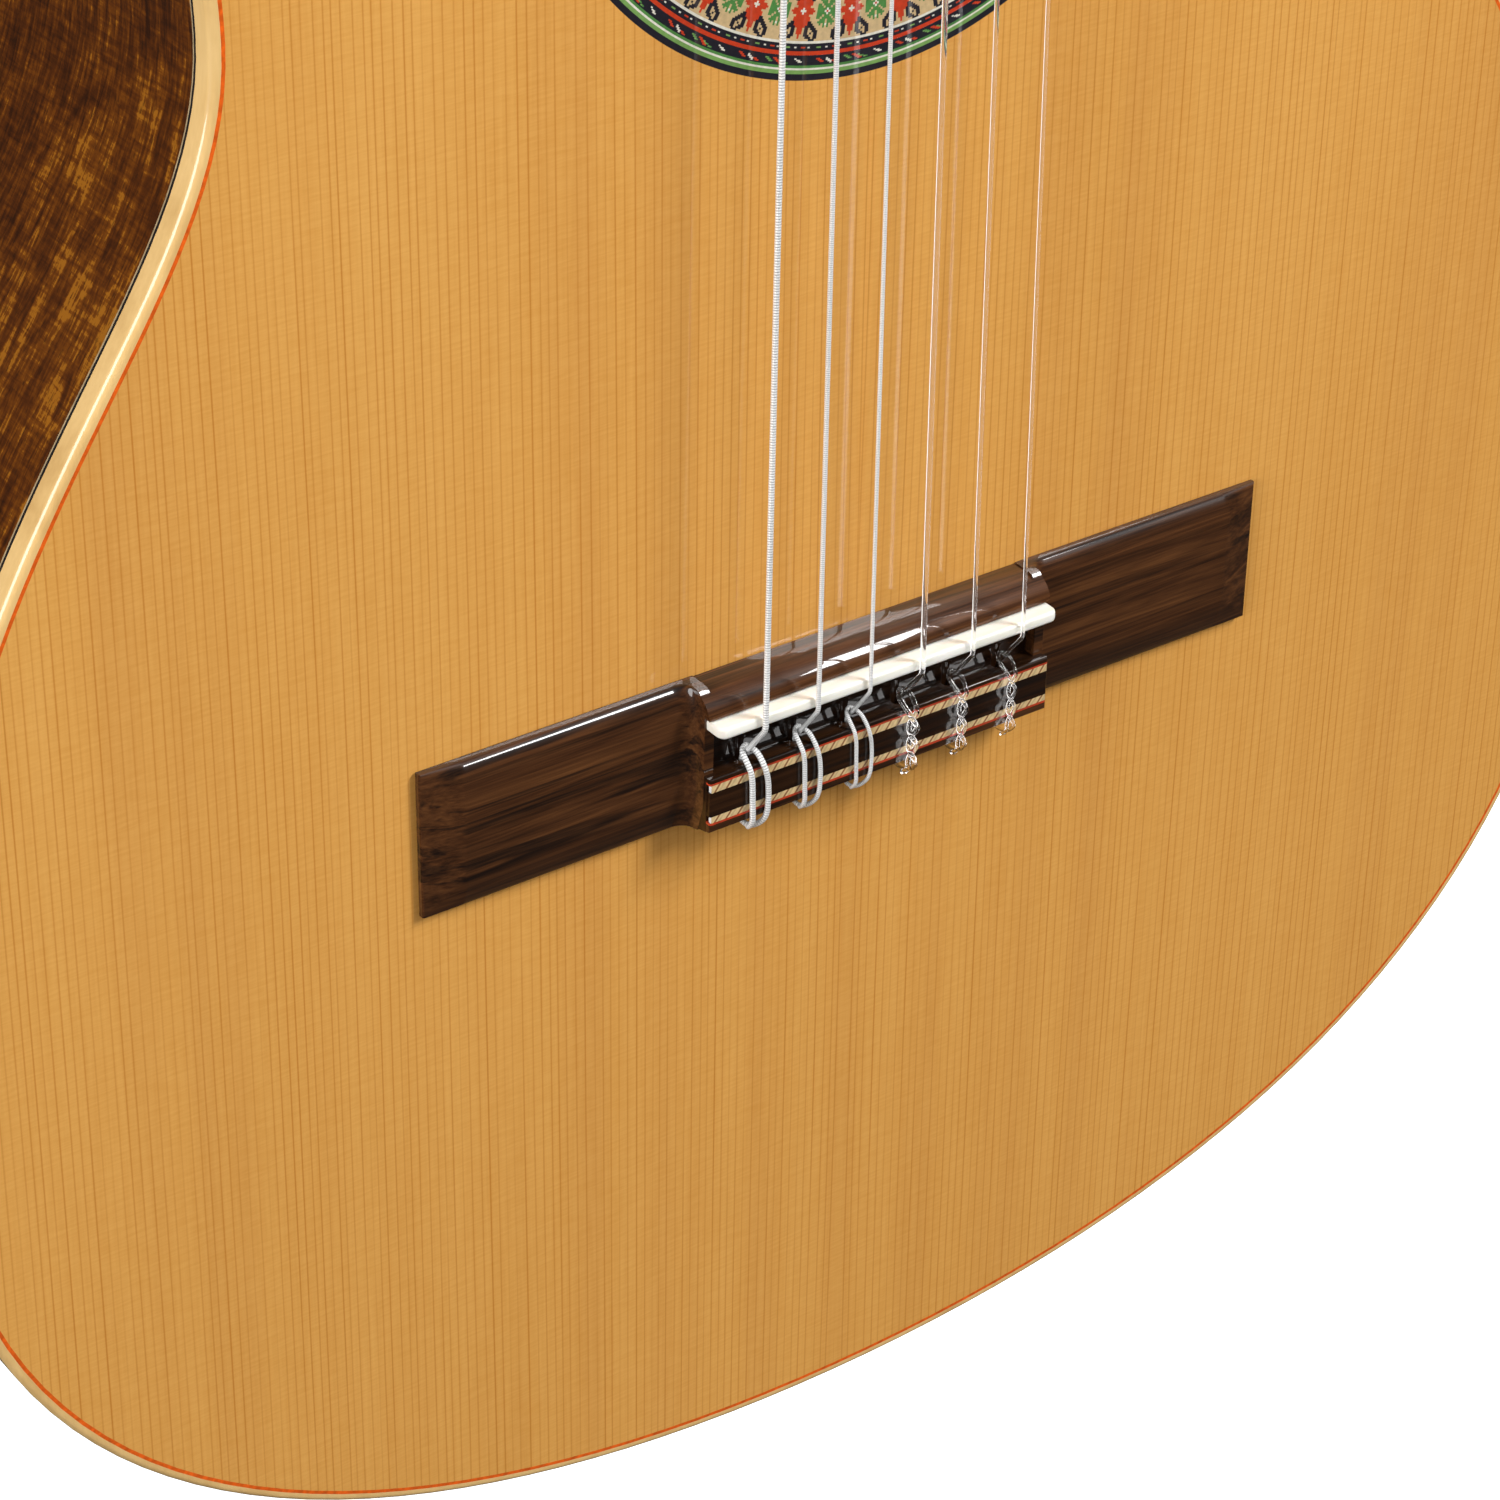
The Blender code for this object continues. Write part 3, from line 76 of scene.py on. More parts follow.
# Edge trim, from the outside in and from the face down
BINDING_WIDTH, BINDING_DEPTH, BINDING_ROUNDING = 0.0018, 0.0045, 0.0012
PURFLING_WIDTH = 0.0007
SIDE_LINE_DARK, SIDE_LINE_PALE = 0.0006, 0.00035
TAIL_STRIP_HALF = 0.0030

SOUNDHOLE_RADIUS = 0.043
ROSETTE_INNER, ROSETTE_OUTER = 0.0454, 0.0692
ROSETTE_THICKNESS = 0.0010


# ---------------------------------------------------------------- pieces


def piece(name, data, finish, replaces=(), slot=None, body=ROOT):
    """One finished object at the origin, which rides on a body and may stand for CAD nodes."""
    made = bpy.data.objects.new(name, data)
    bpy.context.scene.collection.objects.link(made)
    if finish:
        data.materials.append(finish)
    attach(made, body)
    if replaces:
        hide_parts(*replaces)
    return made


def mesh_of(name, bm, smooth_below=35, recalculate=True):
    """A mesh from a bmesh, shaded smooth except over edges sharper than this many degrees."""
    if recalculate:
        bmesh.ops.recalc_face_normals(bm, faces=bm.faces)
    mesh = bpy.data.meshes.new(name)
    bm.to_mesh(mesh)
    bm.free()
    smoothed(mesh, smooth_below)
    return mesh


def smoothed(mesh, smooth_below):
    """Smooth shading that breaks over edges sharper than this many degrees."""
    mesh.shade_smooth()
    mesh.set_sharp_from_angle(angle=math.radians(smooth_below))


def swept(bm, rows, ring=True, wrap=False):
    """A skin grown from the first row of points to each next one. Returns its vertices, row by row."""
    first = [bm.verts.new(point) for point in rows[0]]
    pairs = list(zip(range(len(first)), range(1, len(first))))
    if ring:
        pairs.append((len(first) - 1, 0))
    for a, b in pairs:
        bm.edges.new((first[a], first[b]))
    grown = [first]
    for row in rows[1:] + (rows[:1] if wrap else []):
        last = grown[-1]
        made = bmesh.ops.extrude_edge_only(bm, edges=[bm.edges.get((last[a], last[b])) for a, b in pairs])
        new = set(made["geom"])
        following = [
            next(v for v in (e.other_vert(old) for e in old.link_edges) if v in new) for old in last
        ]
        for vert, point in zip(following, row):
            vert.co = point
        grown.append(following)
    if wrap:
        bmesh.ops.weld_verts(bm, targetmap=dict(zip(grown.pop(), first)))
    return grown


def capped(bm, grown):
    """Faces over both open ends of a skin."""
    for row in (grown[0], grown[-1]):
        bmesh.ops.contextual_create(bm, geom=row)


def lofted(rows):
    """A closed solid over rows of points, capped at both ends."""
    bm = bmesh.new()
    capped(bm, swept(bm, [[Vector(point) for point in row] for row in rows]))
    return bm


def arc(centre, radius, start, end, steps):
    """Points of a circular arc in a plane, with angles in degrees."""
    found = []
    for i in range(steps + 1):
        a = math.radians(start + (end - start) * i / steps)
        found.append((centre[0] + radius * math.cos(a), centre[1] + radius * math.sin(a)))
    return found


def extruded(points, direction):
    """A solid from a flat outline, moved along a vector."""
    bm = bmesh.new()
    face = bm.faces.new([bm.verts.new(point) for point in points])
    grown = bmesh.ops.extrude_face_region(bm, geom=[face])["geom"]
    bmesh.ops.translate(bm, vec=direction, verts=[v for v in grown if isinstance(v, bmesh.types.BMVert)])
    return bm


def round_edges(bm, edges, size, segments=3):
    """Rounds these edges over this width."""
    bmesh.ops.bevel(
        bm,
        geom=list(edges),
        offset=size,
        offset_type="OFFSET",
        segments=segments,
        profile=0.5,
        affect="EDGES",
        clamp_overlap=True,
        material=-1,
    )


def sharp_edges(bm, degrees=30):
    """The edges that turn by more than this angle."""
    bm.normal_update()
    least = math.radians(degrees)
    return [e for e in bm.edges if len(e.link_faces) == 2 and e.calc_face_angle(0) > least]


def box(low, high, rounding=0.0, segments=2):
    """A block between two corners, with rounded edges if asked."""
    bm = bmesh.new()
    low, high = Vector(low), Vector(high)
    middle, size = (low + high) / 2, high - low
    matrix = Matrix.Translation(middle) @ Matrix.Diagonal((*size, 1))
    bmesh.ops.create_cube(bm, size=1, matrix=matrix)
    if rounding:
        round_edges(bm, bm.edges, rounding, segments)
    return bm


def cylinder(bm, start, end, radius, segments=24):
    """Adds a capped cylinder between two points."""
    start, end = Vector(start), Vector(end)
    along = end - start
    turn = along.to_track_quat("Z", "Y").to_matrix().to_4x4()
    matrix = Matrix.Translation((start + end) / 2) @ turn
    bmesh.ops.create_cone(
        bm,
        cap_ends=True,
        segments=segments,
        radius1=radius,
        radius2=radius,
        depth=along.length,
        matrix=matrix,
    )


def cut(mesh_a, cutters, operation="DIFFERENCE"):
    """The result of Boolean operations on a mesh, with the operands removed afterwards."""
    base = bpy.data.objects.new("base", mesh_a)
    bpy.context.scene.collection.objects.link(base)
    helpers = []
    for cutter in cutters:
        tool = bpy.data.objects.new("tool", cutter)
        bpy.context.scene.collection.objects.link(tool)
        helpers.append(tool)
        modifier = base.modifiers.new("cut", "BOOLEAN")
        modifier.operation = operation
        modifier.solver = "EXACT"
        modifier.object = tool
    graph = bpy.context.evaluated_depsgraph_get()
    made = bpy.data.meshes.new_from_object(base.evaluated_get(graph))
    for old in [base, *helpers]:
        bpy.data.objects.remove(old, do_unlink=True)
    made.name = mesh_a.name
    made.materials.clear()
    return made


# ---------------------------------------------------------------- materials


def add(tree, kind, settings=None, **inputs):
    """One shader node. An input is a value, or a socket to link; a list fills the sockets in order."""
    made = tree.nodes.new("ShaderNode" + kind)
    for key, value in (settings or {}).items():
        setattr(made, key, value)
    numbered = inputs.pop("args", [])
    for socket, value in [
        *zip(made.inputs, numbered), *((made.inputs[k.replace("_", " ")], v) for k, v in inputs.items())
    ]:
        if isinstance(value, bpy.types.NodeSocket):
            tree.links.new(value, socket)
        elif value is not None:
            socket.default_value = value
    return made


def math_node(tree, operation, *args):
    """The result of one math node."""
    return add(tree, "Math", {"operation": operation}, args=list(args)).outputs[0]


def ramp(tree, fac, stops, interpolation="LINEAR"):
    """A colour ramp; each stop is (position, colour)."""
    made = add(tree, "ValToRGB", None, Fac=fac)
    band = made.color_ramp
    band.interpolation = interpolation
    band.elements[0].position, band.elements[0].color = stops[0][0], (*stops[0][1], 1)
    band.elements[1].position, band.elements[1].color = stops[-1][0], (*stops[-1][1], 1)
    for position, colour in stops[1:-1]:
        band.elements.new(position).color = (*colour, 1)
    return made.outputs["Color"]


def mixed(tree, fac, a, b, mode="MIX"):
    """Two colours blended by a factor."""
    made = tree.nodes.new("ShaderNodeMix")
    made.data_type, made.blend_type = "RGBA", mode
    for socket, value in ((made.inputs["Factor"], fac), (made.inputs[6], a), (made.inputs[7], b)):
        if isinstance(value, bpy.types.NodeSocket):
            tree.links.new(value, socket)
        elif isinstance(value, tuple):
            socket.default_value = (*value, 1)
        else:
            socket.default_value = value
    return made.outputs[2]


def new_material(name, **surface):
    """A Principled material with these plain values, its node tree and its shader."""
    made = bpy.data.materials.new(name)
    made.use_nodes = True
    shader = made.node_tree.nodes["Principled BSDF"]
    for key, value in surface.items():
        shader.inputs[key.replace("_", " ")].default_value = value
    return made, made.node_tree, shader


def place_on(tree, scale=(1, 1, 1), turn=(0, 0, 0), shift=(0, 0, 0)):
    """Object coordinates, scaled to give a pattern its grain."""
    where = add(tree, "TexCoord").outputs["Object"]
    return add(tree, "Mapping", None, Vector=where, Scale=scale, Rotation=turn, Location=shift).outputs[0]


def noise(tree, where, scale, detail=2.0, roughness=0.5, distortion=0.0):
    """A noise value at these coordinates."""
    made = add(tree, "TexNoise", None, Vector=where, Scale=scale, Detail=detail, Roughness=roughness)
    made.inputs["Distortion"].default_value = distortion
    return made.outputs["Fac"]


def bump(tree, shader, height, strength, distance=0.0005):
    """Relief on the surface, from a height value."""
    made = add(tree, "Bump", None, Height=height, Strength=strength, Distance=distance)
    tree.links.new(made.outputs[0], shader.inputs["Normal"])


def lacquer(shader, weight=1.0, roughness=0.03):
    """A clear gloss coat."""
    shader.inputs["Coat Weight"].default_value = weight
    shader.inputs["Coat Roughness"].default_value = roughness
    shader.inputs["Coat IOR"].default_value = 1.5


def soundboard_wood():
    """Amber conifer, quarter-sawn: fine lines along Z, broad soft bands and a faint silk across them."""
    made, tree, shader = new_material("soundboard_wood", Roughness=0.42, Specular_IOR_Level=0.3)
    lacquer(shader, 0.9, 0.02)
    split = add(tree, "SeparateXYZ", None, Vector=add(tree, "TexCoord").outputs["Object"])
    x = math_node(tree, "ABSOLUTE", split.outputs["X"])
    drift = noise(tree, place_on(tree, (14, 1, 2.2)), 1.0, 1.0)
    grain_x = math_node(tree, "MULTIPLY_ADD", drift, 0.006, x)
    flat = add(tree, "CombineXYZ", None, X=grain_x, Z=split.outputs["Z"]).outputs[0]
    spacing = 0.0018
    w = math_node(tree, "MULTIPLY", grain_x, 1 / spacing)
    cells = add(
        tree,
        "TexVoronoi",
        {"voronoi_dimensions": "1D", "feature": "DISTANCE_TO_EDGE"},
        W=w,
        Scale=1.0,
        Randomness=0.55,
    )
    near = math_node(tree, "MULTIPLY", cells.outputs["Distance"], spacing / 0.00026)
    lines = add(
        tree,
        "MapRange",
        {"interpolation_type": "SMOOTHSTEP"},
        Value=near,
        From_Min=0.0,
        From_Max=1.0,
        To_Min=1.0,
        To_Max=0.0,
    ).outputs[0]
    strong = noise(tree, add(tree, "Mapping", None, Vector=flat, Scale=(300, 1, 5)).outputs[0], 1.0, 2.0)
    strong = add(
        tree, "MapRange", None, Value=strong, From_Min=0.32, From_Max=0.66, To_Min=0.25, To_Max=1.0
    ).outputs[0]
    lines = math_node(tree, "MULTIPLY", lines, strong)
    band = noise(
        tree, add(tree, "Mapping", None, Vector=flat, Scale=(60, 1, 1.2)).outputs[0], 1.0, 2.0, 0.5
    )
    fine = noise(
        tree, add(tree, "Mapping", None, Vector=flat, Scale=(1100, 1, 40)).outputs[0], 1.0, 2.0, 0.6
    )
    silk = noise(tree, place_on(tree, (150, 1, 1900), (0, 0.10, 0)), 1.0, 2.0, 0.6)
    blotch = noise(tree, place_on(tree, (9, 9, 5)), 1.0, 2.0)
    base = ramp(
        tree,
        band,
        [(0.30, (0.690, 0.300, 0.060)), (0.5, (0.765, 0.350, 0.070)), (0.72, (0.805, 0.385, 0.084))],
    )
    base = mixed(
        tree, 0.14, base, ramp(tree, fine, [(0.3, (0.55, 0.24, 0.035)), (0.7, (0.92, 0.54, 0.155))])
    )
    base = mixed(
        tree, 0.11, base, ramp(tree, silk, [(0.35, (0.60, 0.29, 0.055)), (0.65, (0.98, 0.62, 0.21))])
    )
    base = mixed(
        tree, 0.10, base, ramp(tree, blotch, [(0.35, (0.60, 0.29, 0.055)), (0.65, (0.86, 0.47, 0.12))])
    )
    inked = mixed(tree, math_node(tree, "MULTIPLY", lines, 0.66), base, (0.49, 0.150, 0.006))
    tree.links.new(inked, shader.inputs["Base Color"])
    bump(tree, shader, fine, 0.02, 0.0002)
    return made


def side_wood():
    """Orange-brown hardwood: fine streaks along the ribs, crossed by short darker and lighter dashes."""
    made, tree, shader = new_material("side_wood", Roughness=0.35, Specular_IOR_Level=0.25)
    lacquer(shader, 0.8, 0.03)
    broad = noise(tree, place_on(tree, (30, 30, 34)), 1.0, 3.0, 0.55, 0.8)
    patch = noise(tree, place_on(tree, (70, 420, 80)), 1.0, 4.0, 0.62, 0.9)
    streak = noise(tree, place_on(tree, (110, 1500, 110)), 1.0, 3.0, 0.6)
    dash = noise(tree, place_on(tree, (900, 110, 900)), 1.0, 3.0, 0.65, 0.3)
    pores = noise(tree, place_on(tree, (500, 2600, 500)), 1.0, 1.0)
    figure = math_node(tree, "MULTIPLY", patch, math_node(tree, "MULTIPLY_ADD", dash, 1.1, streak))
    figure = math_node(tree, "MULTIPLY_ADD", broad, 0.55, figure)
    colour = ramp(
        tree,
        figure,
        [
            (0.56, (0.030, 0.0070, 0.0005)),
            (0.76, (0.085, 0.0200, 0.0008)),
            (0.94, (0.170, 0.046, 0.0015)),
            (1.0, (0.33, 0.115, 0.006)),
        ],
    )
    speck = add(
        tree, "MapRange", None, Value=pores, From_Min=0.60, From_Max=0.70, To_Min=0.0, To_Max=0.55
    ).outputs[0]
    colour = mixed(tree, speck, colour, (0.022, 0.007, 0.001))
    tree.links.new(colour, shader.inputs["Base Color"])
    return made


def rosewood(name, along=(12, 380, 380), shift=(0, 0, 0), shade=1.0):
    """Dark rosewood with black streaks. The scale is smallest along the grain; shade scales its colours
    down, for a darker copy that partly stands for painted shade.
    """
    made, tree, shader = new_material(name, Roughness=0.35, Specular_IOR_Level=0.12)
    lacquer(shader, 1.0, 0.02)
    where = place_on(tree, along, shift=shift)
    warp = noise(tree, place_on(tree, tuple(v * 0.35 for v in along), shift=shift), 1.0, 2.0)
    streaks = noise(tree, where, 1.0, 6.0, 0.68, 1.0)
    ink = noise(tree, place_on(tree, tuple(v * 0.55 for v in along), shift=(3, 5, 1)), 1.0, 3.0, 0.55, 1.6)
    fine = noise(tree, place_on(tree, tuple(v * 5 for v in along)), 1.0, 2.0, 0.6)
    tones = ((0.020, 0.0080, 0.0034), (0.064, 0.0225, 0.0076), (0.150, 0.056, 0.017))
    fibres = ((0.010, 0.004, 0.002), (0.14, 0.055, 0.018))
    tones, fibres = ([tuple(v * shade for v in colour) for colour in group] for group in (tones, fibres))
    colour = ramp(
        tree,
        math_node(tree, "MULTIPLY_ADD", warp, 0.35, streaks),
        list(zip((0.50, 0.66, 0.86), tones)),
    )
    dark = add(
        tree,
        "MapRange",
        {"interpolation_type": "SMOOTHSTEP"},
        Value=ink,
        From_Min=0.50,
        From_Max=0.63,
        To_Min=0.0,
        To_Max=0.92,
    ).outputs[0]
    colour = mixed(tree, dark, colour, (0.008, 0.0045, 0.0035))
    colour = mixed(tree, 0.25, colour, ramp(tree, fine, list(zip((0.4, 0.7), fibres))))
    tree.links.new(colour, shader.inputs["Base Color"])
    bump(tree, shader, fine, 0.02, 0.0002)
    return made


def pale_maple(name="binding_maple", tint=(0.84, 0.54, 0.21)):
    """Pale hardwood with soft wisps along it."""
    made, tree, shader = new_material(name, Roughness=0.35, Specular_IOR_Level=0.4)
    lacquer(shader, 1.0, 0.03)
    wisps = noise(tree, place_on(tree, (90, 90, 60)), 1.0, 3.0, 0.6)
    fibre = noise(tree, place_on(tree, (1500, 1500, 160)), 1.0, 2.0)
    darker = tuple(v * k for v, k in zip(tint, (0.80, 0.74, 0.66)))
    lighter = tuple(min(v * k, 1.0) for v, k in zip(tint, (1.08, 1.12, 1.2)))
    colour = ramp(tree, wisps, [(0.3, darker), (0.5, tint), (0.72, lighter)])
    colour = mixed(tree, 0.18, colour, ramp(tree, fibre, [(0.3, darker), (0.7, lighter)]))
    tree.links.new(colour, shader.inputs["Base Color"])
    return made


def dyed_veneer(name, colour, roughness=0.4):
    """Thin dyed wood under lacquer, faintly uneven."""
    made, tree, shader = new_material(name, Roughness=roughness, Specular_IOR_Level=0.4)
    lacquer(shader, 1.0, 0.03)
    fibre = noise(tree, place_on(tree, (700, 700, 700)), 1.0, 2.0)
    darker = tuple(v * 0.72 for v in colour)
    lighter = tuple(min(v * 1.22, 1.0) for v in colour)
    tree.links.new(ramp(tree, fibre, [(0.3, darker), (0.7, lighter)]), shader.inputs["Base Color"])
    return made


def mosaic_veneer(name, attribute="tile"):
    """Small dyed rods under lacquer; their colours are stored on the mesh."""
    made, tree, shader = new_material(name, Roughness=0.4, Specular_IOR_Level=0.4)
    lacquer(shader, 1.0, 0.03)
    tile = add(tree, "Attribute", {"attribute_name": attribute}).outputs["Color"]
    fibre = noise(tree, place_on(tree, (1100, 1100, 1100)), 1.0, 2.0)
    shade = ramp(tree, fibre, [(0.3, (0.80, 0.80, 0.80)), (0.7, (1.0, 1.0, 1.0))])
    tree.links.new(mixed(tree, 1.0, tile, shade, "MULTIPLY"), shader.inputs["Base Color"])
    return made


def bone():
    """Polished ivory-white bone."""
    made, tree, shader = new_material("bone", Roughness=0.28, Specular_IOR_Level=0.5)
    shader.inputs["Subsurface Weight"].default_value = 0.12
    shader.inputs["Subsurface Radius"].default_value = (0.004, 0.003, 0.002)
    shader.inputs["Subsurface Scale"].default_value = 0.5
    grain = noise(tree, place_on(tree, (60, 700, 900)), 1.0, 2.0)
    tree.links.new(
        ramp(tree, grain, [(0.3, (0.90, 0.87, 0.76)), (0.7, (0.97, 0.95, 0.88))]),
        shader.inputs["Base Color"],
    )
    return made


def wound_metal(name, pitch):
    """Silvered wire wound side by side along a core; each turn of it is a small ridge, with painted shade in
    the grooves between turns and a faint painted highlight on the crests.
    """
    made, tree, shader = new_material(name, Metallic=0.1, Roughness=0.28)
    along = add(tree, "Attribute", {"attribute_name": "along"}).outputs["Fac"]
    phase = math_node(tree, "FRACT", math_node(tree, "DIVIDE", along, pitch))
    ridge = math_node(tree, "SINE", math_node(tree, "MULTIPLY", phase, math.pi))
    # Colour from the ridge's height: painted shade down in the grooves and a faint painted highlight on the
    # crests; the bump gives the real relief.
    painted_groove_shade = ramp(
        tree, ridge, [(0.0, (0.20, 0.20, 0.20)), (0.35, (0.85, 0.85, 0.84)), (1.0, (0.98, 0.98, 0.97))]
    )
    smear = noise(tree, place_on(tree, (300, 300, 40)), 1.0, 1.0)
    painted_groove_shade = mixed(
        tree,
        0.2,
        painted_groove_shade,
        ramp(tree, smear, [(0.3, (0.55, 0.55, 0.55)), (0.7, (0.95, 0.95, 0.95))]),
        "MULTIPLY",
    )
    tree.links.new(painted_groove_shade, shader.inputs["Base Color"])
    bump(tree, shader, ridge, 0.7, pitch * 0.3)
    return made


def clear_nylon():
    """Transparent nylon line."""
    made, _, shader = new_material(
        "clear_nylon", Roughness=0.06, IOR=1.50, Base_Color=(0.97, 0.96, 0.95, 1)
    )
    shader.inputs["Transmission Weight"].default_value = 1.0
    return made


# ---------------------------------------------------------------- the body's plan


def bezier(p0, p1, p2, p3, steps=PLAN_STEPS):
    """(point, tangent) pairs along a cubic Bezier curve, without its last point."""
    p0, p1, p2, p3 = (Vector(p) for p in (p0, p1, p2, p3))
    found = []
    for i in range(steps):
        t = i / steps
        s = 1 - t
        point = s**3 * p0 + 3 * s * s * t * p1 + 3 * s * t * t * p2 + t**3 * p3
        tangent = s * s * (p1 - p0) + 2 * s * t * (p2 - p1) + t * t * (p3 - p2)
        found.append((point, tangent.normalized()))
    return found


def half_plan(inset=0.0):
    """(x, down) points of the treble half of the outline, from neck to tail, moved inwards by inset."""
    upper, waist, lower = UPPER_HALF, WAIST_HALF, LOWER_HALF
    rows = bezier((0, 0), (0.095, 0), (upper, 0.034), (upper, UPPER_DOWN))
    rows += bezier(
        (upper, UPPER_DOWN), (upper, UPPER_DOWN + 0.042), (waist, WAIST_DOWN - 0.038), (waist, WAIST_DOWN)
    )
    rows += bezier(
        (waist, WAIST_DOWN), (waist, WAIST_DOWN + 0.0453), (lower, LOWER_DOWN - 0.1017), (lower, LOWER_DOWN)
    )
    rows += bezier(
        (lower, LOWER_DOWN), (lower, LOWER_DOWN + 0.0959), (0.102, BODY_LENGTH), (0, BODY_LENGTH)
    )
    rows.append((Vector((0, BODY_LENGTH)), Vector((-1, 0))))
    return [p + inset * Vector((-t.y, t.x)) for p, t in rows]


def whole_plan(inset):
    """The closed outline, both halves."""
    treble = half_plan(inset)
    return treble + [Vector((-p.x, p.y)) for p in reversed(treble[1:-1])]


def at(point, y):
    """A plan point as a point in space."""
    return Vector((point.x, y, SHOULDER - point.y))


def back_y(point):
    """The arched back's outer surface."""
    taper = DEPTH_AT_NECK + (DEPTH_AT_TAIL - DEPTH_AT_NECK) * point.y / BODY_LENGTH
    return taper + BACK_ARCH * (1 - (point.x / LOWER_HALF) ** 2)


def trim(name, section, finish, from_back=False, **about):
    """A band round the body; its section is a closed list of (inset, depth below that face)."""
    bm = bmesh.new()
    edge = whole_plan(0.0)
    rows = []
    for inset, depth in section:
        plan = whole_plan(inset)
        rows.append([at(p, back_y(q) - depth if from_back else depth) for p, q in zip(plan, edge)])
    swept(bm, rows, wrap=True)
    return piece(name, mesh_of(name, bm), finish, **about)


def make_edge_trim(maple, orange, black, tan):
    """Bindings with a rounded outer corner, the orange line inside each, and the two side lines."""
    r = BINDING_ROUNDING
    corner = [
        (r - r * math.cos(math.radians(a)), r - r * math.sin(math.radians(a)))
        for a in (0, 15, 30, 45, 60, 75, 90)
    ]
    section = [(0.0, BINDING_DEPTH), *corner, (BINDING_WIDTH, 0.0), (BINDING_WIDTH, BINDING_DEPTH)]
    inner = BINDING_WIDTH + PURFLING_WIDTH
    line = [(BINDING_WIDTH, 0.0), (inner, 0.0), (inner, 0.0012), (BINDING_WIDTH, 0.0012)]
    dark_end = BINDING_DEPTH + SIDE_LINE_DARK
    pale_end = dark_end + SIDE_LINE_PALE
    dark = [
        (0.0, BINDING_DEPTH), (SIDE_THICKNESS, BINDING_DEPTH), (SIDE_THICKNESS, dark_end), (0.0, dark_end)
    ]
    pale = [(0.0, dark_end), (SIDE_THICKNESS, dark_end), (SIDE_THICKNESS, pale_end), (0.0, pale_end)]
    for face, from_back in (("top", False), ("back", True)):
        node = f"{face}_binding"
        trim(node + "_edge", section, maple, from_back, replaces=[node], slot="binding_maple")
        trim(f"{face}_purfling", line, orange, from_back, slot="binding_maple")
        trim(f"{face}_side_line_dark", dark, black, from_back, slot="binding_maple")
        trim(f"{face}_side_line_pale", pale, tan, from_back, slot="binding_maple")


def make_sides(wood, maple):
    """Two bent ribs that meet behind the heel, and the inlaid strip that covers their joint at the tail."""
    edge = BINDING_DEPTH + SIDE_LINE_DARK + SIDE_LINE_PALE
    outer, inner = half_plan(0.0), half_plan(SIDE_THICKNESS)
    stop = next(i for i in range(len(outer) - 1, 0, -1) if outer[i].x > TAIL_STRIP_HALF)
    for label, mirror in (("treble", 1), ("bass", -1)):
        rows = []
        for p, q in zip(outer[: stop + 1], inner[: stop + 1]):
            rear = back_y(p) - edge
            p, q = Vector((mirror * p.x, p.y)), Vector((mirror * q.x, q.y))
            rows.append([at(p, edge), at(p, rear), at(q, rear), at(q, edge)])
        bm = lofted(rows)
        name = f"rib_{label}"
        piece(name, mesh_of(name, bm), wood, replaces=[f"side_{label}"], slot="back_and_side_wood")
    end = outer[stop]
    rear = back_y(Vector((0, BODY_LENGTH))) - edge
    strip = box((-end.x, edge, TAIL), (end.x, rear, TAIL + SIDE_THICKNESS), 0.0)
    piece("tail_strip", mesh_of("tail_strip", strip), maple, slot="binding_maple")


def make_soundboard(wood):
    """The top with its hole and the rosette's channel. Its rings share the outline's rays."""
    bm = bmesh.new()
    plan = whole_plan(BINDING_WIDTH + PURFLING_WIDTH)
    rays = [(at(p, 0) - Vector((0, 0, HOLE_Z))).normalized() for p in plan]

    def ring(radius, y):
        return [Vector((radius * ray.x, y, HOLE_Z + radius * ray.z)) for ray in rays]

    rows = [[at(p, y) for p in plan] for y in (BOARD_THICKNESS, 0)]
    rows += [
        ring(ROSETTE_OUTER, 0),
        ring(ROSETTE_OUTER, ROSETTE_THICKNESS),
        ring(ROSETTE_INNER, ROSETTE_THICKNESS),
        ring(ROSETTE_INNER, 0),
        ring(SOUNDHOLE_RADIUS + 0.0004, 0),
        ring(SOUNDHOLE_RADIUS, 0.0004),
        ring(SOUNDHOLE_RADIUS, BOARD_THICKNESS),
    ]
    swept(bm, rows, wrap=True)
    mesh = mesh_of("soundboard_plate", bm, 25)
    piece("soundboard_plate", mesh, wood, replaces=["soundboard"], slot="soundboard_wood")


def make_back(wood):
    """The arched back, in rows across the body."""
    bm = bmesh.new()
    half = half_plan(BINDING_WIDTH + PURFLING_WIDTH)
    shares = [j / 12 for j in range(-12, 13)]
    rows = []
    for p in half[1:-1]:
        across = [Vector((p.x * share, p.y)) for share in shares]
        outer = [at(q, back_y(q)) for q in across]
        inner = [at(q, back_y(q) - BACK_THICKNESS) for q in reversed(across)]
        rows.append(outer + inner)
    bm = lofted(rows)
    piece(
        "back_plate_arched",
        mesh_of("back_plate_arched", bm),
        wood,
        replaces=["back_plate"],
        slot="back_and_side_wood",
    )


# ---------------------------------------------------------------- rosette

CREAM, WHITE = (0.66, 0.47, 0.24), (0.82, 0.78, 0.66)
TILES = {
    "k": (0.016, 0.014, 0.022),
    "r": (0.62, 0.050, 0.012),
    "g": (0.085, 0.26, 0.060),
    "G": (0.20, 0.38, 0.10),
    "w": WHITE,
    ".": CREAM,
}
# A quarter of the flower-and-cross repeat: rows run outwards from the middle of the band,
# columns from a flower's middle to a cross's middle.
FLOWER_AND_CROSS = """
rwgggg.rrrrrww
wggggg..rrrrrw
gg.ggg....rrrr
ggg.gg...rrrrr
.ggg.....rrrrr
.gggg...kkrrrr
wg.g...kkkrrrr
.g....kkkkkrrr
.....kkk.kk.rr
....kkk..kk.rr
....kk.k.kk.rr
....kk..kkk..r
....kk.kkk...r
.....kkk......
""".split()
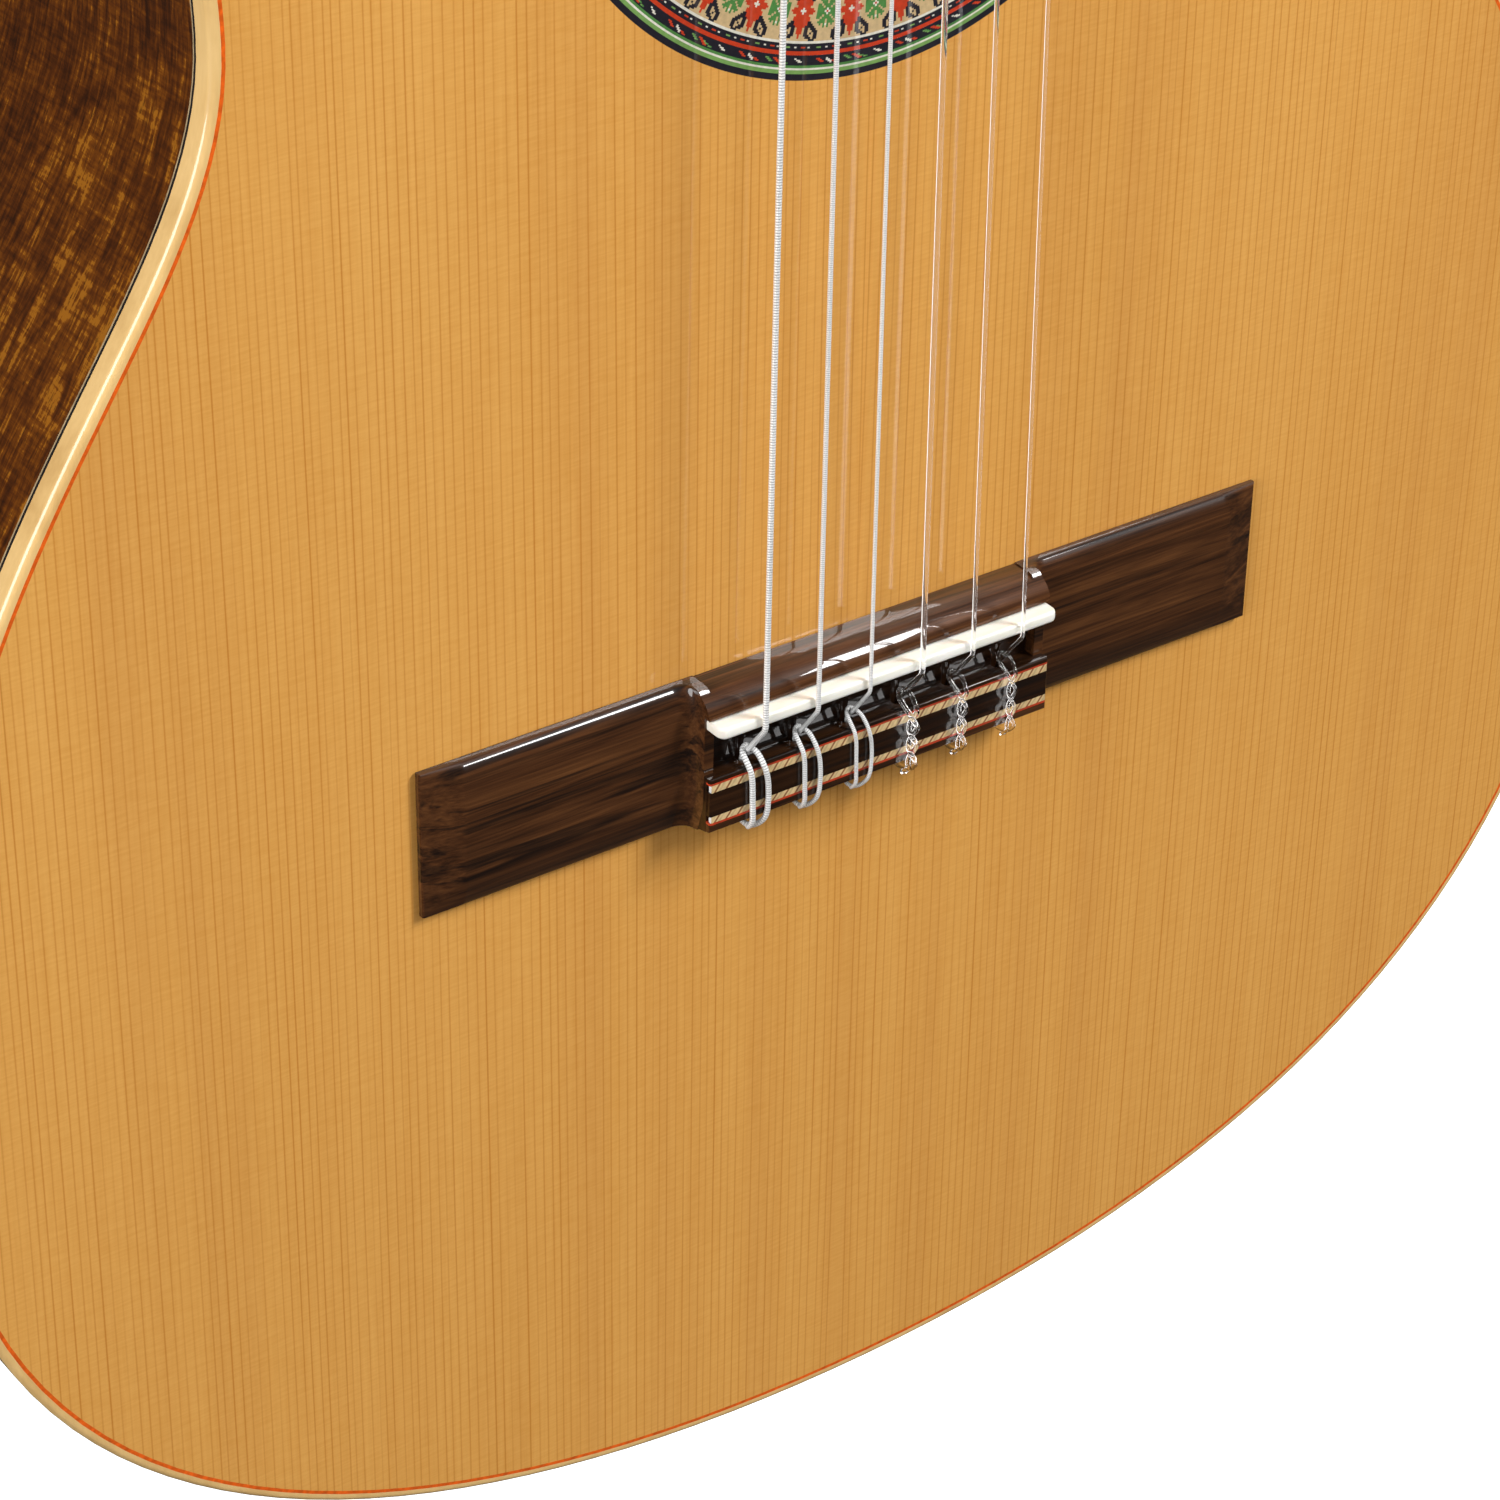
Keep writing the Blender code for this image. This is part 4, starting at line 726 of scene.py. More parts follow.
# Flecks let into the dark band, rows from its mosaic side to its green side
FLECKS = """
kkkkkkkkkkkkkkkkkkkkkkkkkkkkkkkkkkkkkkkk
kkkkkkkkkkkkkkkkkkkkkkkkkkkkkkkkkkkkkkkk
krrkkkwkkkkkkkkGgkkrrkkkkkkkkkwkkkkkkkkk
kkrrkkwwkkkkkkkkGgkkrrGkkkkkkkkwwkkkkkkk
kkkrrkkwwrrkkkkkkGgkkrrGgkkkkkkkwwkkkkkk
kkkkkkkkwkrrkkkkkkkkkkrrkGgkkkkkkkkkkkkk
kkkkkkkkkkkkkkkkkkkkkkkkkkkkkkkkkkkkkkkk
""".split()
DOTS = ["kkkkkkkkkkkkkk", "kkkkkkkkkkkkkk", "wkkkGGkkwkkrrk", "kkkkkkkkkkkkkk", "kkkkkkkkkkkkkk"]
MOSAIC_MIDDLE = 0.0573
HALF_BAND = 0.0051
# (outer radius, chart or colour letter, columns), outwards from the middle band
BORDERS = (
    (0.06285, "w", 288),
    (0.06415, DOTS, 861),
    (0.06485, "r", 288),
    (0.06660, FLECKS, 1000),
    (0.06705, "g", 288),
    (0.06740, "w", 288),
    (0.06808, "G", 288),
    (ROSETTE_OUTER, "k", 288),
)


def add_inlay_ring(bm, layer, inner, outer, chart, columns):
    """A ring of small rods: one row of tiles for each line of the chart, repeated round the ring."""
    radii = [inner + (outer - inner) * i / len(chart) for i in range(len(chart) + 1)]

    def circle(radius, y):
        turns = (math.tau * i / columns for i in range(columns))
        return [Vector((radius * math.cos(a), y, HOLE_Z + radius * math.sin(a))) for a in turns]

    floor = ROSETTE_THICKNESS - 0.0001
    rows = [circle(radius, 0) for radius in radii] + [circle(outer, floor), circle(inner, floor)]
    grown = swept(bm, rows, wrap=True)
    for i, line in enumerate(chart):
        for j in range(columns):
            corner = {grown[i][j], grown[i + 1][j], grown[i][(j + 1) % columns]}
            face = next(f for f in grown[i][j].link_faces if corner <= set(f.verts))
            colour = (*TILES[line[j % len(line)]], 1)
            for corner in face.loops:
                corner[layer] = colour


def make_rosette(veneer):
    """Coloured rods round the soundhole: a wide flower mosaic between two mirrored borders."""
    bm = bmesh.new()
    layer = bm.loops.layers.float_color.new("tile")
    half_rows = [line + line[-2:0:-1] for line in FLOWER_AND_CROSS]
    chart = half_rows[:0:-1] + half_rows
    add_inlay_ring(
        bm, layer, MOSAIC_MIDDLE - HALF_BAND, MOSAIC_MIDDLE + HALF_BAND, chart, 36 * len(chart[0])
    )
    start = MOSAIC_MIDDLE + HALF_BAND
    for end, what, columns in BORDERS:
        lines = [what] if isinstance(what, str) else what
        add_inlay_ring(bm, layer, start, end, lines, columns)
        inner, outer = 2 * MOSAIC_MIDDLE - end, 2 * MOSAIC_MIDDLE - start
        add_inlay_ring(bm, layer, inner, outer, lines[::-1], columns)
        start = end
    piece(
        "rosette_inlay", mesh_of("rosette_inlay", bm), veneer, replaces=["rosette"], slot="rosette_mosaic"
    )


# ---------------------------------------------------------------- bridge

BRIDGE_FRONT, BRIDGE_REAR = 0.0063, -0.0229  # along Z, from the saddle's middle
CENTRE_HALF = 0.038
TIE_FRONT, TIE_REAR = -0.0104, BRIDGE_REAR + 0.0014
TIE_TOP, TIE_INLAY_DEPTH = 0.0087, 0.0012
STRING_XS = [0.0575 * (i / 5 - 0.5) for i in range(6)]


def on_bridge(x, height, z):
    """A point across the bridge, at a height over the soundboard, and along Z from the saddle."""
    return Vector((x, -BRIDGE_BASE - height, SADDLE_Z + z))


def make_wings(wood):
    """Each wing has a rounded front, a bevelled rear and end, and a hollow sweep up to the centre block."""
    sweep = 0.0034
    front = [(BRIDGE_FRONT, 0.0), (BRIDGE_FRONT, 0.0008)]
    for z, h in arc((BRIDGE_FRONT - 0.0070, 0.0009), 1.0, 0, 90, 12)[1:]:
        share_z, share_h = z - (BRIDGE_FRONT - 0.0070), h - 0.0009
        front.append((BRIDGE_FRONT - 0.0070 + 0.0070 * share_z, 0.0009 + 0.0026 * share_h))
    section = front + [
        (BRIDGE_REAR + 0.0065, 0.00315),
        (BRIDGE_REAR + 0.0058, 0.00308),
        (BRIDGE_REAR + 0.0003, 0.00150),
        (BRIDGE_REAR, 0.00125),
        (BRIDGE_REAR, 0.0),
    ]
    stations = [(BRIDGE_HALF, 0.0, 0.0009), (BRIDGE_HALF - 0.0003, 0.0, 0.0012)]
    stations += [(BRIDGE_HALF - 0.0078, 0.0, 0.0034), (BRIDGE_HALF - 0.0085, 0.0, 1.0)]
    for i in range(9):
        gap = sweep * (1 - i / 8)
        stations.append((CENTRE_HALF + gap, sweep - math.sqrt(sweep**2 - (sweep - gap) ** 2), 1.0))
    stations.append((CENTRE_HALF - 0.002, sweep, 1.0))
    for label, side in (("bass", -1), ("treble", 1)):
        rows = []
        for x, lift, most in stations:
            rows.append(
                [
                    on_bridge(side * x, 0 if h == 0 else min(h, most) + lift * min(1, h / 0.0015), z)
                    for z, h in section
                ]
            )
        bm = lofted(rows)
        name = f"bridge_wing_{label}"
        piece(
            name, mesh_of(name, bm, 24), wood, replaces=["bridge"] if side < 0 else (), slot="bridge_wood"
        )


def bar_across(profile, half, rounding, segments=3, degrees=30):
    """A profile of (z, height) points run across the bridge, with its edges rounded."""
    bm = extruded([on_bridge(-half, h, z) for z, h in profile], (2 * half, 0, 0))
    if rounding:
        round_edges(
            bm,
            [
                e
                for e in sharp_edges(bm, degrees)
                if max(abs(v.co.y + BRIDGE_BASE) for v in e.verts) > 0.0004
            ],
            rounding,
            segments,
        )
    return bm


def make_centre_block(wood, black):
    """The middle of the bridge: a rounded crest, the saddle's slot, a ledge, a channel and the tie block."""
    front = BRIDGE_FRONT - 0.0002
    crest = [(front, 0.0)]
    crest += [
        (front - 0.0046 * (1 - math.cos(a)), 0.0020 + 0.0063 * math.sin(a))
        for a in (math.pi / 2 * i / 12 for i in range(13))
    ]
    crest += [(0.0016, 0.0083), (0.0016, 0.0040), (0.0016, 0.0)]
    bm = bar_across(crest, CENTRE_HALF, 0.0005, 3, 40)
    piece("bridge_crest", mesh_of("bridge_crest", bm, 40), wood, slot="bridge_wood")
    rear = BRIDGE_REAR - 0.0002
    bed = [
        (0.0016, 0.0),
        (0.0016, 0.0038),
        (-0.0016, 0.0038),
        (-0.0016, 0.0064),
        (-0.0034, 0.0060),
        (-0.0072, 0.0044),
        (-0.0094, 0.0042),
        (TIE_FRONT, 0.0042),
        (TIE_FRONT, TIE_TOP - TIE_INLAY_DEPTH),
        (TIE_REAR - 0.0004, TIE_TOP - TIE_INLAY_DEPTH),
        (rear, 0.0022),
        (rear, 0.0),
    ]
    bm = bar_across(bed, CENTRE_HALF, 0.0003, 2, 30)
    holes = bmesh.new()
    for x in STRING_XS:
        cylinder(
            holes, on_bridge(x, 0.0052, TIE_FRONT + 0.004), on_bridge(x, 0.0052, rear - 0.003), 0.0013, 20
        )
    mesh = cut(mesh_of("bridge_bed", bm, 30), [mesh_of("tie_holes", holes, 30)])
    mesh.set_sharp_from_angle(angle=math.radians(30))
    # The bed (ledge, channel and the tie block's front face) takes the darker rosewood: painted shade in the
    # recess behind the crest.
    bed_piece = piece("bridge_bed", mesh, None, slot="bridge_wood")
    bed_piece.data.materials.clear()
    bed_piece.data.materials.append(black)


def add_rope(bm, layer, start, end, height, light, dark):
    """A strip of slanted pale and dark slivers, let into the top of the tie block."""
    steps = 150
    width = 2 * CENTRE_HALF - 0.0006
    lean = 0.0011
    rows = []
    section = (
        (start, height - 0.0008, 0.5),
        (start, height, 0.5),
        ((start + end) / 2, height, 0.0),
        (end, height, -0.5),
        (end, height - 0.0008, -0.5),
    )
    for k in range(steps + 1):
        x = -width / 2 + width * k / steps
        rows.append([on_bridge(x + lean * shift, h, z) for z, h, shift in section])
    rows[0] = [Vector((-width / 2, p.y, p.z)) for p in rows[0]]
    rows[-1] = [Vector((width / 2, p.y, p.z)) for p in rows[-1]]
    grown = swept(bm, rows)
    capped(bm, grown)
    tones = (light, light, dark, light, tuple(v * 0.8 for v in light))
    for k, (here, there) in enumerate(zip(grown, grown[1:])):
        for vert in here:
            for face in vert.link_faces:
                if any(v in there for v in face.verts):
                    for corner in face.loops:
                        corner[layer] = (*tones[k % len(tones)], 1)


def make_tie_block_inlay(wood, black, red, rope):
    """Strips over the tie block, from the saddle's side: black, red, rope, black, rope, red and brown."""
    top = TIE_TOP
    strips = [
        ("front", TIE_FRONT, -0.01125, black),
        ("red_front", -0.01125, -0.01165, red),
        ("middle", -0.01315, -0.01815, black),
        ("red_rear", -0.01945, -0.01990, red),
        ("rear", -0.01990, TIE_REAR, wood),
    ]
    for name, start, end, finish in strips:
        profile = [(start, top - TIE_INLAY_DEPTH), (start, top), (end, top), (end, top - TIE_INLAY_DEPTH)]
        bm = extruded([on_bridge(-CENTRE_HALF, h, z) for z, h in profile], (2 * CENTRE_HALF, 0, 0))
        outer = start if name == "front" else end
        chosen = [
            e
            for e in bm.edges
            if all(abs(v.co.y + BRIDGE_BASE + top) < 1e-6 for v in e.verts)
            and (
                abs(e.verts[0].co.x - e.verts[1].co.x) < 1e-6
                or (
                    name in ("front", "rear")
                    and all(abs(v.co.z - SADDLE_Z - outer) < 1e-6 for v in e.verts)
                )
            )
        ]
        round_edges(bm, chosen, 0.00045, 3)
        piece(f"tie_block_{name}", mesh_of(f"tie_block_{name}", bm, 40), finish, slot="bridge_wood")
    bm = bmesh.new()
    layer = bm.loops.layers.float_color.new("tile")
    add_rope(bm, layer, -0.01165, -0.01315, top, (0.78, 0.56, 0.28), (0.30, 0.13, 0.05))
    add_rope(bm, layer, -0.01815, -0.01945, top, (0.78, 0.56, 0.28), (0.30, 0.13, 0.05))
    piece("tie_block_rope", mesh_of("tie_block_rope", bm, 30), rope, slot="bridge_wood")


def make_saddle(ivory):
    """A bone blade whose ends are rounded down, most at the bass end."""
    bass, treble, low = 0.0016, 0.0016, 0.0030
    half = CENTRE_HALF - 0.0004
    outline = [(-half, low)]
    outline += [
        (-half + bass + bass * math.cos(a), SADDLE_TOP - 0.0020 + 0.0020 * math.sin(a))
        for a in (math.pi - math.pi / 2 * i / 10 for i in range(11))
    ]
    outline += [
        (half - treble + treble * math.sin(a), SADDLE_TOP - 0.0018 + 0.0018 * math.cos(a))
        for a in (math.pi / 2 * i / 10 for i in range(11))
    ]
    outline.append((half, low))
    thick = 0.00115
    bm = extruded([Vector((x, -h, SADDLE_Z - thick)) for x, h in outline], (0, 0, 2 * thick))
    bm.normal_update()
    rims = [
        e for e in bm.edges if abs(e.verts[0].co.z - e.verts[1].co.z) < 1e-7 and e.calc_face_angle(0) > 1
    ]
    rims = [e for e in rims if max(-v.co.y for v in e.verts) > low + 0.0005]
    round_edges(bm, rims, 0.0006, 3)
    piece("saddle_blade", mesh_of("saddle_blade", bm, 35), ivory, replaces=["saddle"], slot="bone")


# ---------------------------------------------------------------- strings

STRINGS = ("e_low", "a", "d", "g", "b", "e_high")
STRING_DIAMETERS = (0.00108, 0.00088, 0.00074, 0.00102, 0.00082, 0.00071)
SEAT = 0.0003
HEAD_ANGLE = math.radians(15)
NUT_TOP = -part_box("nut")[0].y
NUT_LENGTH = 0.0050
SLEEVE_RADIUS, ROLLER_DEEP, ROLLER_UPS = 0.0048, 0.009, (0.058, 0.093, 0.128)


def from_head(x, deep, up):
    """A point of the tilted headstock: across, into it and along it."""
    c, s = math.cos(HEAD_ANGLE), math.sin(HEAD_ANGLE)
    return Vector((x, up * s + deep * c, NUT_LENGTH + up * c - deep * s))


def roller_coil(i, radius):
    """A string's turns round its roller, from the loose end to where it leaves."""
    side = -1 if i < 3 else 1
    rank = i if side < 0 else 5 - i
    leaves_at = (0.0178, 0.0160, 0.0135)[rank]
    orbit, step = SLEEVE_RADIUS + SEAT + radius, 2 * radius + SEAT
    coil = []
    for k in range(66, -1, -1):
        turns = 2.25 * k / 66
        a = math.tau * turns
        x = side * (leaves_at + step * turns)
        coil.append(from_head(x, ROLLER_DEEP - orbit * math.cos(a), ROLLER_UPS[rank] + orbit * math.sin(a)))
    return coil


def bass_tie(radius):
    """A loop round the tie block, as (x, height, z): up behind it, forward, round the string and back."""
    over, hole, rear = SEAT + TIE_TOP + SEAT + radius, SEAT + 0.0052, BRIDGE_REAR
    return [
        (0.0000, hole, rear - 0.0006),
        (0.0001, hole + 0.0013, rear - 0.0010),
        (0.0008, hole + 0.0023, rear - 0.0010),
        (0.0018, over - 0.0010, rear - 0.0002),
        (0.0024, over - 0.0003, rear + 0.0010),
        (0.0027, over, rear + 0.0026),
        (0.0029, over, rear + 0.0060),
        (0.0027, over, rear + 0.0090),
        (0.0022, over, rear + 0.0112),
        (0.0018, over - 0.0005, rear + 0.0128),
        (0.0016, over - 0.0020, rear + 0.0143),
        (0.0002, over - 0.0038, rear + 0.0155),
        (-0.0013, over - 0.0026, rear + 0.0150),
        (-0.0014, over - 0.0009, rear + 0.0137),
        (-0.0010, over, rear + 0.0119),
        (-0.0007, over, rear + 0.0095),
        (-0.0005, over, rear + 0.0016),
        (-0.0005, over - 0.0005, rear + 0.0003),
        (-0.0005, over - 0.0015, rear - 0.0005),
    ]


def treble_tie(radius):
    """The same loop with its two strands twisted three half turns round each other."""
    apart, lift = 0.00075, radius + SEAT / 2
    over, hole, rear = SEAT + TIE_TOP + SEAT + radius + lift, SEAT + 0.0052, BRIDGE_REAR
    start, end = rear + 0.0010, rear + 0.0122
    twist = []
    for k in range(25):
        a = math.pi * 3 * k / 24
        twist.append((apart * math.cos(a), lift * math.sin(a), start + (end - start) * k / 24))
    forward = [(x, over + h, z) for x, h, z in twist]
    back = [(-x, over - h, z) for x, h, z in reversed(twist)]
    up = [
        (0.0, hole, rear - 0.0006),
        (0.0003, hole + 0.0014, rear - 0.0010),
        (0.0007, over - 0.0012, rear - 0.0004),
    ]
    around = [
        (-0.0012, over - 0.0016, rear + 0.0137),
        (-0.0013, over - 0.0032, rear + 0.0151),
        (0.0001, over - 0.0042, rear + 0.0156),
        (0.0014, over - 0.0026, rear + 0.0145),
        (0.0012, over - 0.0010, rear + 0.0132),
    ]
    down = [(-0.0008, over - 0.0006, rear - 0.0001), (-0.0008, over - 0.0016, rear - 0.0007)]
    return up + forward + around + back + down


def string_route(i):
    """The points of a string, from its roller over nut and saddle to its tie."""
    radius = STRING_DIAMETERS[i] / 2
    at_nut = 0.043 * (i / 5 - 0.5)
    nut_y = -NUT_TOP - SEAT - radius
    route = roller_coil(i, radius)
    route += [
        Vector((at_nut, nut_y + 0.0004, 0.0024)),
        Vector((at_nut, nut_y, 0.0012)),
        Vector((at_nut, nut_y, 0.0002)),
    ]
    over_saddle, hole = SADDLE_TOP + SEAT + radius, SEAT + 0.0052
    down = [
        (0, over_saddle, 0.0013),
        (0, over_saddle, -0.0013),
        (0, hole + 0.0001, TIE_FRONT + 0.0003),
        (0, hole, TIE_FRONT - 0.0007),
        (0, hole, BRIDGE_REAR + 0.0008),
    ]
    down += bass_tie(radius) if i < 3 else treble_tie(radius)
    return route + [Vector((STRING_XS[i] + x, -h, SADDLE_Z + z)) for x, h, z in down]


def rounded_route(points):
    """The route with each corner replaced by a short curve, so a string bends instead of folding."""
    found = [points[0]]
    for before, here, after in zip(points, points[1:], points[2:]):
        reach = min((before - here).length, (after - here).length, 0.0020) * 0.45
        start, end = here + (before - here).normalized() * reach, here + (after - here).normalized() * reach
        for k in range(4):
            t = k / 3
            found.append((1 - t) ** 2 * start + 2 * t * (1 - t) * here + t**2 * end)
    return found + [points[-1]]


def tube(points, radius, sides=12):
    """A closed tube along a route, which stores how far along it each vertex lies."""
    rows, lengths, length = [], [], 0.0
    normal = None
    for k, point in enumerate(points):
        along = (points[min(k + 1, len(points) - 1)] - points[max(k - 1, 0)]).normalized()
        if normal is None:
            normal = along.orthogonal()
        normal = (normal - along * normal.dot(along)).normalized()
        across = along.cross(normal)
        length += (point - points[k - 1]).length if k else 0.0
        lengths.append(length)
        turns = (math.tau * j / sides for j in range(sides))
        rows.append([point + radius * (math.cos(a) * normal + math.sin(a) * across) for a in turns])
    bm = bmesh.new()
    layer = bm.verts.layers.float.new("along")
    grown = swept(bm, rows)
    for row, length in zip(grown, lengths):
        for vert in row:
            vert[layer] = length
    capped(bm, grown)
    return bm


def make_strings(windings, nylon):
    """Three wound basses and three plain trebles."""
    for i, name in enumerate(STRINGS):
        bm = tube(rounded_route(string_route(i)), STRING_DIAMETERS[i] / 2, 14)
        mesh = mesh_of(f"string_{name}_wire", bm, 60)
        wound = i < 3
        piece(
            mesh.name,
            mesh,
            windings[i] if wound else nylon,
            replaces=[f"string_{name}"],
            slot="wound_string" if wound else "nylon_string",
        )


# ---------------------------------------------------------------- neck, fingerboard and headstock

GAP = 0.0003
HEAD_LENGTH, HEAD_HALF, HEAD_THICKNESS, VENEER_THICKNESS = 0.196, 0.035, 0.018, 0.0020
SLOT_INNER, SLOT_OUTER, SLOT_START, SLOT_END = 0.0070, 0.0225, 0.036, 0.150
HEAD = Matrix.Translation((0, 0, NUT_LENGTH)) @ Matrix.Rotation(-HEAD_ANGLE, 4, "X")
BOARD_TOP = -GAP - 0.0060
BOARD_END_RADIUS = SOUNDHOLE_RADIUS + 0.0016
HEEL_FLOOR = DEPTH_AT_NECK + BACK_ARCH - 0.0028 - GAP


def plain_wood(name, dark, mid, light, along=(220, 220, 9), gloss=0.5):
    """A straight-grained wood whose fibres run where the scale is smallest."""
    made, tree, shader = new_material(name, Roughness=0.45, Specular_IOR_Level=0.35)
    lacquer(shader, gloss, 0.12)
    streaks = noise(tree, place_on(tree, along), 1.0, 4.0, 0.6, 0.4)
    pores = noise(tree, place_on(tree, tuple(v * 6 for v in along)), 1.0, 2.0, 0.6)
    colour = ramp(tree, streaks, [(0.32, dark), (0.5, mid), (0.7, light)])
    colour = mixed(tree, 0.3, colour, ramp(tree, pores, [(0.35, dark), (0.65, light)]))
    tree.links.new(colour, shader.inputs["Base Color"])
    bump(tree, shader, pores, 0.05, 0.0003)
    return made


def metal(name, colour, roughness=0.25):
    """Polished metal with fine brushing."""
    made, tree, shader = new_material(name, Metallic=1.0)
    brushed = noise(tree, place_on(tree, (150, 900, 900)), 1.0, 2.0)
    tree.links.new(
        ramp(tree, brushed, [(0.3, tuple(v * 0.85 for v in colour)), (0.7, colour)]),
        shader.inputs["Base Color"],
    )
    rough = add(
        tree, "MapRange", None, Value=brushed, To_Min=roughness * 0.8, To_Max=roughness * 1.3
    ).outputs[0]
    tree.links.new(rough, shader.inputs["Roughness"])
    return made


def pearl_plastic():
    """Cream pearl, in clouded swirls."""
    made, tree, shader = new_material("button_pearl", Roughness=0.22, Specular_IOR_Level=0.5)
    lacquer(shader, 0.6, 0.05)
    swirl = noise(tree, place_on(tree, (240, 160, 200)), 1.0, 3.0, 0.6, 2.5)
    tree.links.new(
        ramp(
            tree, swirl, [(0.3, (0.62, 0.57, 0.47)), (0.5, (0.84, 0.81, 0.72)), (0.7, (0.93, 0.92, 0.87))]
        ),
        shader.inputs["Base Color"],
    )
    shader.inputs["Sheen Weight"].default_value = 0.2
    return made


def board_half(z):
    """Half the fingerboard's width at this height."""
    return (0.052 + 0.010 * z / SHOULDER) / 2


def half_oval(half, reach, y, steps=24):
    """Half an oval at this depth, round towards the nut."""
    turns = (math.pi * i / steps for i in range(steps + 1))
    return [Vector((half * math.cos(a), y, SHOULDER + GAP + reach * math.sin(a))) for a in turns]


def make_neck(wood, cap_wood):
    """A D-shaped shaft that swells towards the headstock, a heel of half ovals, and its cap."""
    rows = []
    for z in (
        SHOULDER + GAP + 0.002,
        -0.29,
        -0.25,
        -0.20,
        -0.15,
        -0.10,
        -0.06,
        -0.03,
        -0.02,
        -0.015,
        -0.010,
        -0.005,
        0.0,
        NUT_LENGTH,
    ):
        swell = max(0.0, 1 + (z - NUT_LENGTH) / 0.024)
        half, deep = board_half(z), 0.0152 + 0.0023 * min(max(z / SHOULDER, 0.0), 1.0) + 0.0034 * swell**2
        turns = [math.pi * i / 30 for i in range(31)]
        rows.append([(half * math.cos(a), deep * abs(math.sin(a)) ** 0.85, z) for a in turns])
    shaft = mesh_of("neck_shaft", lofted(rows))
    slices = []
    for k in range(25):
        share = 0.006 + 0.994 * (k / 24) ** 1.3
        left = 1 - share
        slices.append(half_oval(0.0135 + 0.0181 * left**1.6, 0.014 + 0.046 * left**3, HEEL_FLOOR * share))
    shaft = cut(shaft, [mesh_of("heel", lofted(slices))], "UNION")
    smoothed(shaft, 35)
    piece("neck_shaft", shaft, wood, replaces=["neck"], slot="neck_wood")
    bm = extruded(half_oval(0.0135, 0.014, HEEL_FLOOR + GAP), (0, 0.0028, 0))
    round_edges(
        bm,
        [
            e
            for e in sharp_edges(bm)
            if min(v.co.y for v in e.verts) > HEEL_FLOOR + 0.002 and max(
                v.co.z for v in e.verts
            ) > SHOULDER + 0.0005
        ],
        0.0006,
    )
    piece(
        "heel_cap_plate",
        mesh_of("heel_cap_plate", bm),
        cap_wood,
        replaces=["heel_cap"],
        slot="back_and_side_wood",
    )


def make_fingerboard(ebony, nickel):
    """The board, ending in an arc round the soundhole, and its frets; the hole splits the last one."""
    corner = board_half(HOLE_Z + BOARD_END_RADIUS * 0.7)
    across = [corner * (2 * i / 40 - 1) for i in range(41)]
    outline = [(-0.026, 0)] + [
        (x, HOLE_Z + math.sqrt(BOARD_END_RADIUS**2 - x**2)) for x in across
    ] + [(0.026, 0)]
    bm = extruded([Vector((x, -GAP, z)) for x, z in outline], (0, -0.0060, 0))
    long_edges = [
        e
        for e in sharp_edges(bm)
        if all(v.co.y < -0.005 for v in e.verts) and abs(e.verts[0].co.z - e.verts[1].co.z) > 0.1
    ]
    round_edges(bm, long_edges, 0.0004)
    piece("fretboard", mesh_of("fretboard", bm), ebony, replaces=["fingerboard"], slot="fingerboard_wood")
    crown = [(-0.0011, 0.0008), (0.0011, 0.0008), (0.0011, -0.0002)]
    crown += [
        (0.0011 * math.cos(a), -0.0002 - 0.0008 * math.sin(a))
        for a in (math.pi * i / 12 for i in range(1, 12))
    ]
    crown.append((-0.0011, -0.0002))
    for number in range(1, 20):
        z = -0.650 * (1 - 2 ** (-number / 12))
        half = board_half(z) - GAP
        spans = [(-half, half)]
        reach = BOARD_END_RADIUS + 0.0022
        if z - 0.0022 < HOLE_Z + reach:
            broken = math.sqrt(reach**2 - (z - HOLE_Z) ** 2)
            spans = [(-half, -broken), (broken, half)]
        bm = bmesh.new()
        for start, end in spans:
            rows = []
            for x, full in ((start, 0.3), (start + 0.0005, 1.0), (end - 0.0005, 1.0), (end, 0.3)):
                rows.append([Vector((x, BOARD_TOP + (y if y > 0 else y * full), z + w)) for w, y in crown])
            capped(bm, swept(bm, rows))
        piece(f"fret_wire_{number}", mesh_of(f"fret_wire_{number}", bm, 40), nickel, slot="tuner_metal")


def make_nut(ivory):
    """The nut slopes down towards the headstock and has a groove for each string."""
    high = -GAP - 0.0075 - 0.0006
    profile = [
        (-GAP, GAP),
        (high + 0.0003, GAP),
        (high, GAP + 0.0004),
        (high, 0.0018),
        (high + 0.0022, NUT_LENGTH),
        (-GAP, NUT_LENGTH),
    ]
    bm = extruded([Vector((-0.026, y, z)) for y, z in profile], (0.052, 0, 0))
    round_edges(bm, [e for e in sharp_edges(bm) if all(v.co.y < -0.003 for v in e.verts)], 0.0003, 2)
    level, sloped = bmesh.new(), bmesh.new()
    for i, size in enumerate(STRING_DIAMETERS):
        x = 0.043 * (i / 5 - 0.5)
        y = -NUT_TOP - SEAT - size / 2
        cylinder(level, (x, y, -0.002), (x, y, 0.0012), size / 2 + 0.00012, 20)
        cylinder(sloped, (x, y, 0.0010), (x, y + 0.0042, 0.0080), size / 2 + 0.00012, 20)
    mesh = cut(
        mesh_of("nut_blade", bm), [mesh_of("level_grooves", level), mesh_of("sloped_grooves", sloped)]
    )
    mesh.set_sharp_from_angle(angle=math.radians(30))
    piece("nut_blade", mesh, ivory, replaces=["nut"], slot="bone")


def head_half():
    """Half the headstock's outline as (x, up), from the nut to its crown."""
    rows = bezier((0.026, 0), (0.027, 0.012), (HEAD_HALF, 0.011), (HEAD_HALF, 0.020), 12)
    crown = bezier(
        (0.037, HEAD_LENGTH - 0.018),
        (0.029, HEAD_LENGTH - 0.006),
        (0.015, HEAD_LENGTH - 0.012),
        (0, HEAD_LENGTH),
        20,
    )
    return [p for p, _ in rows] + [Vector((HEAD_HALF, 0.020)), Vector((HEAD_HALF, HEAD_LENGTH - 0.042))] + [
        p for p, _ in crown
    ]


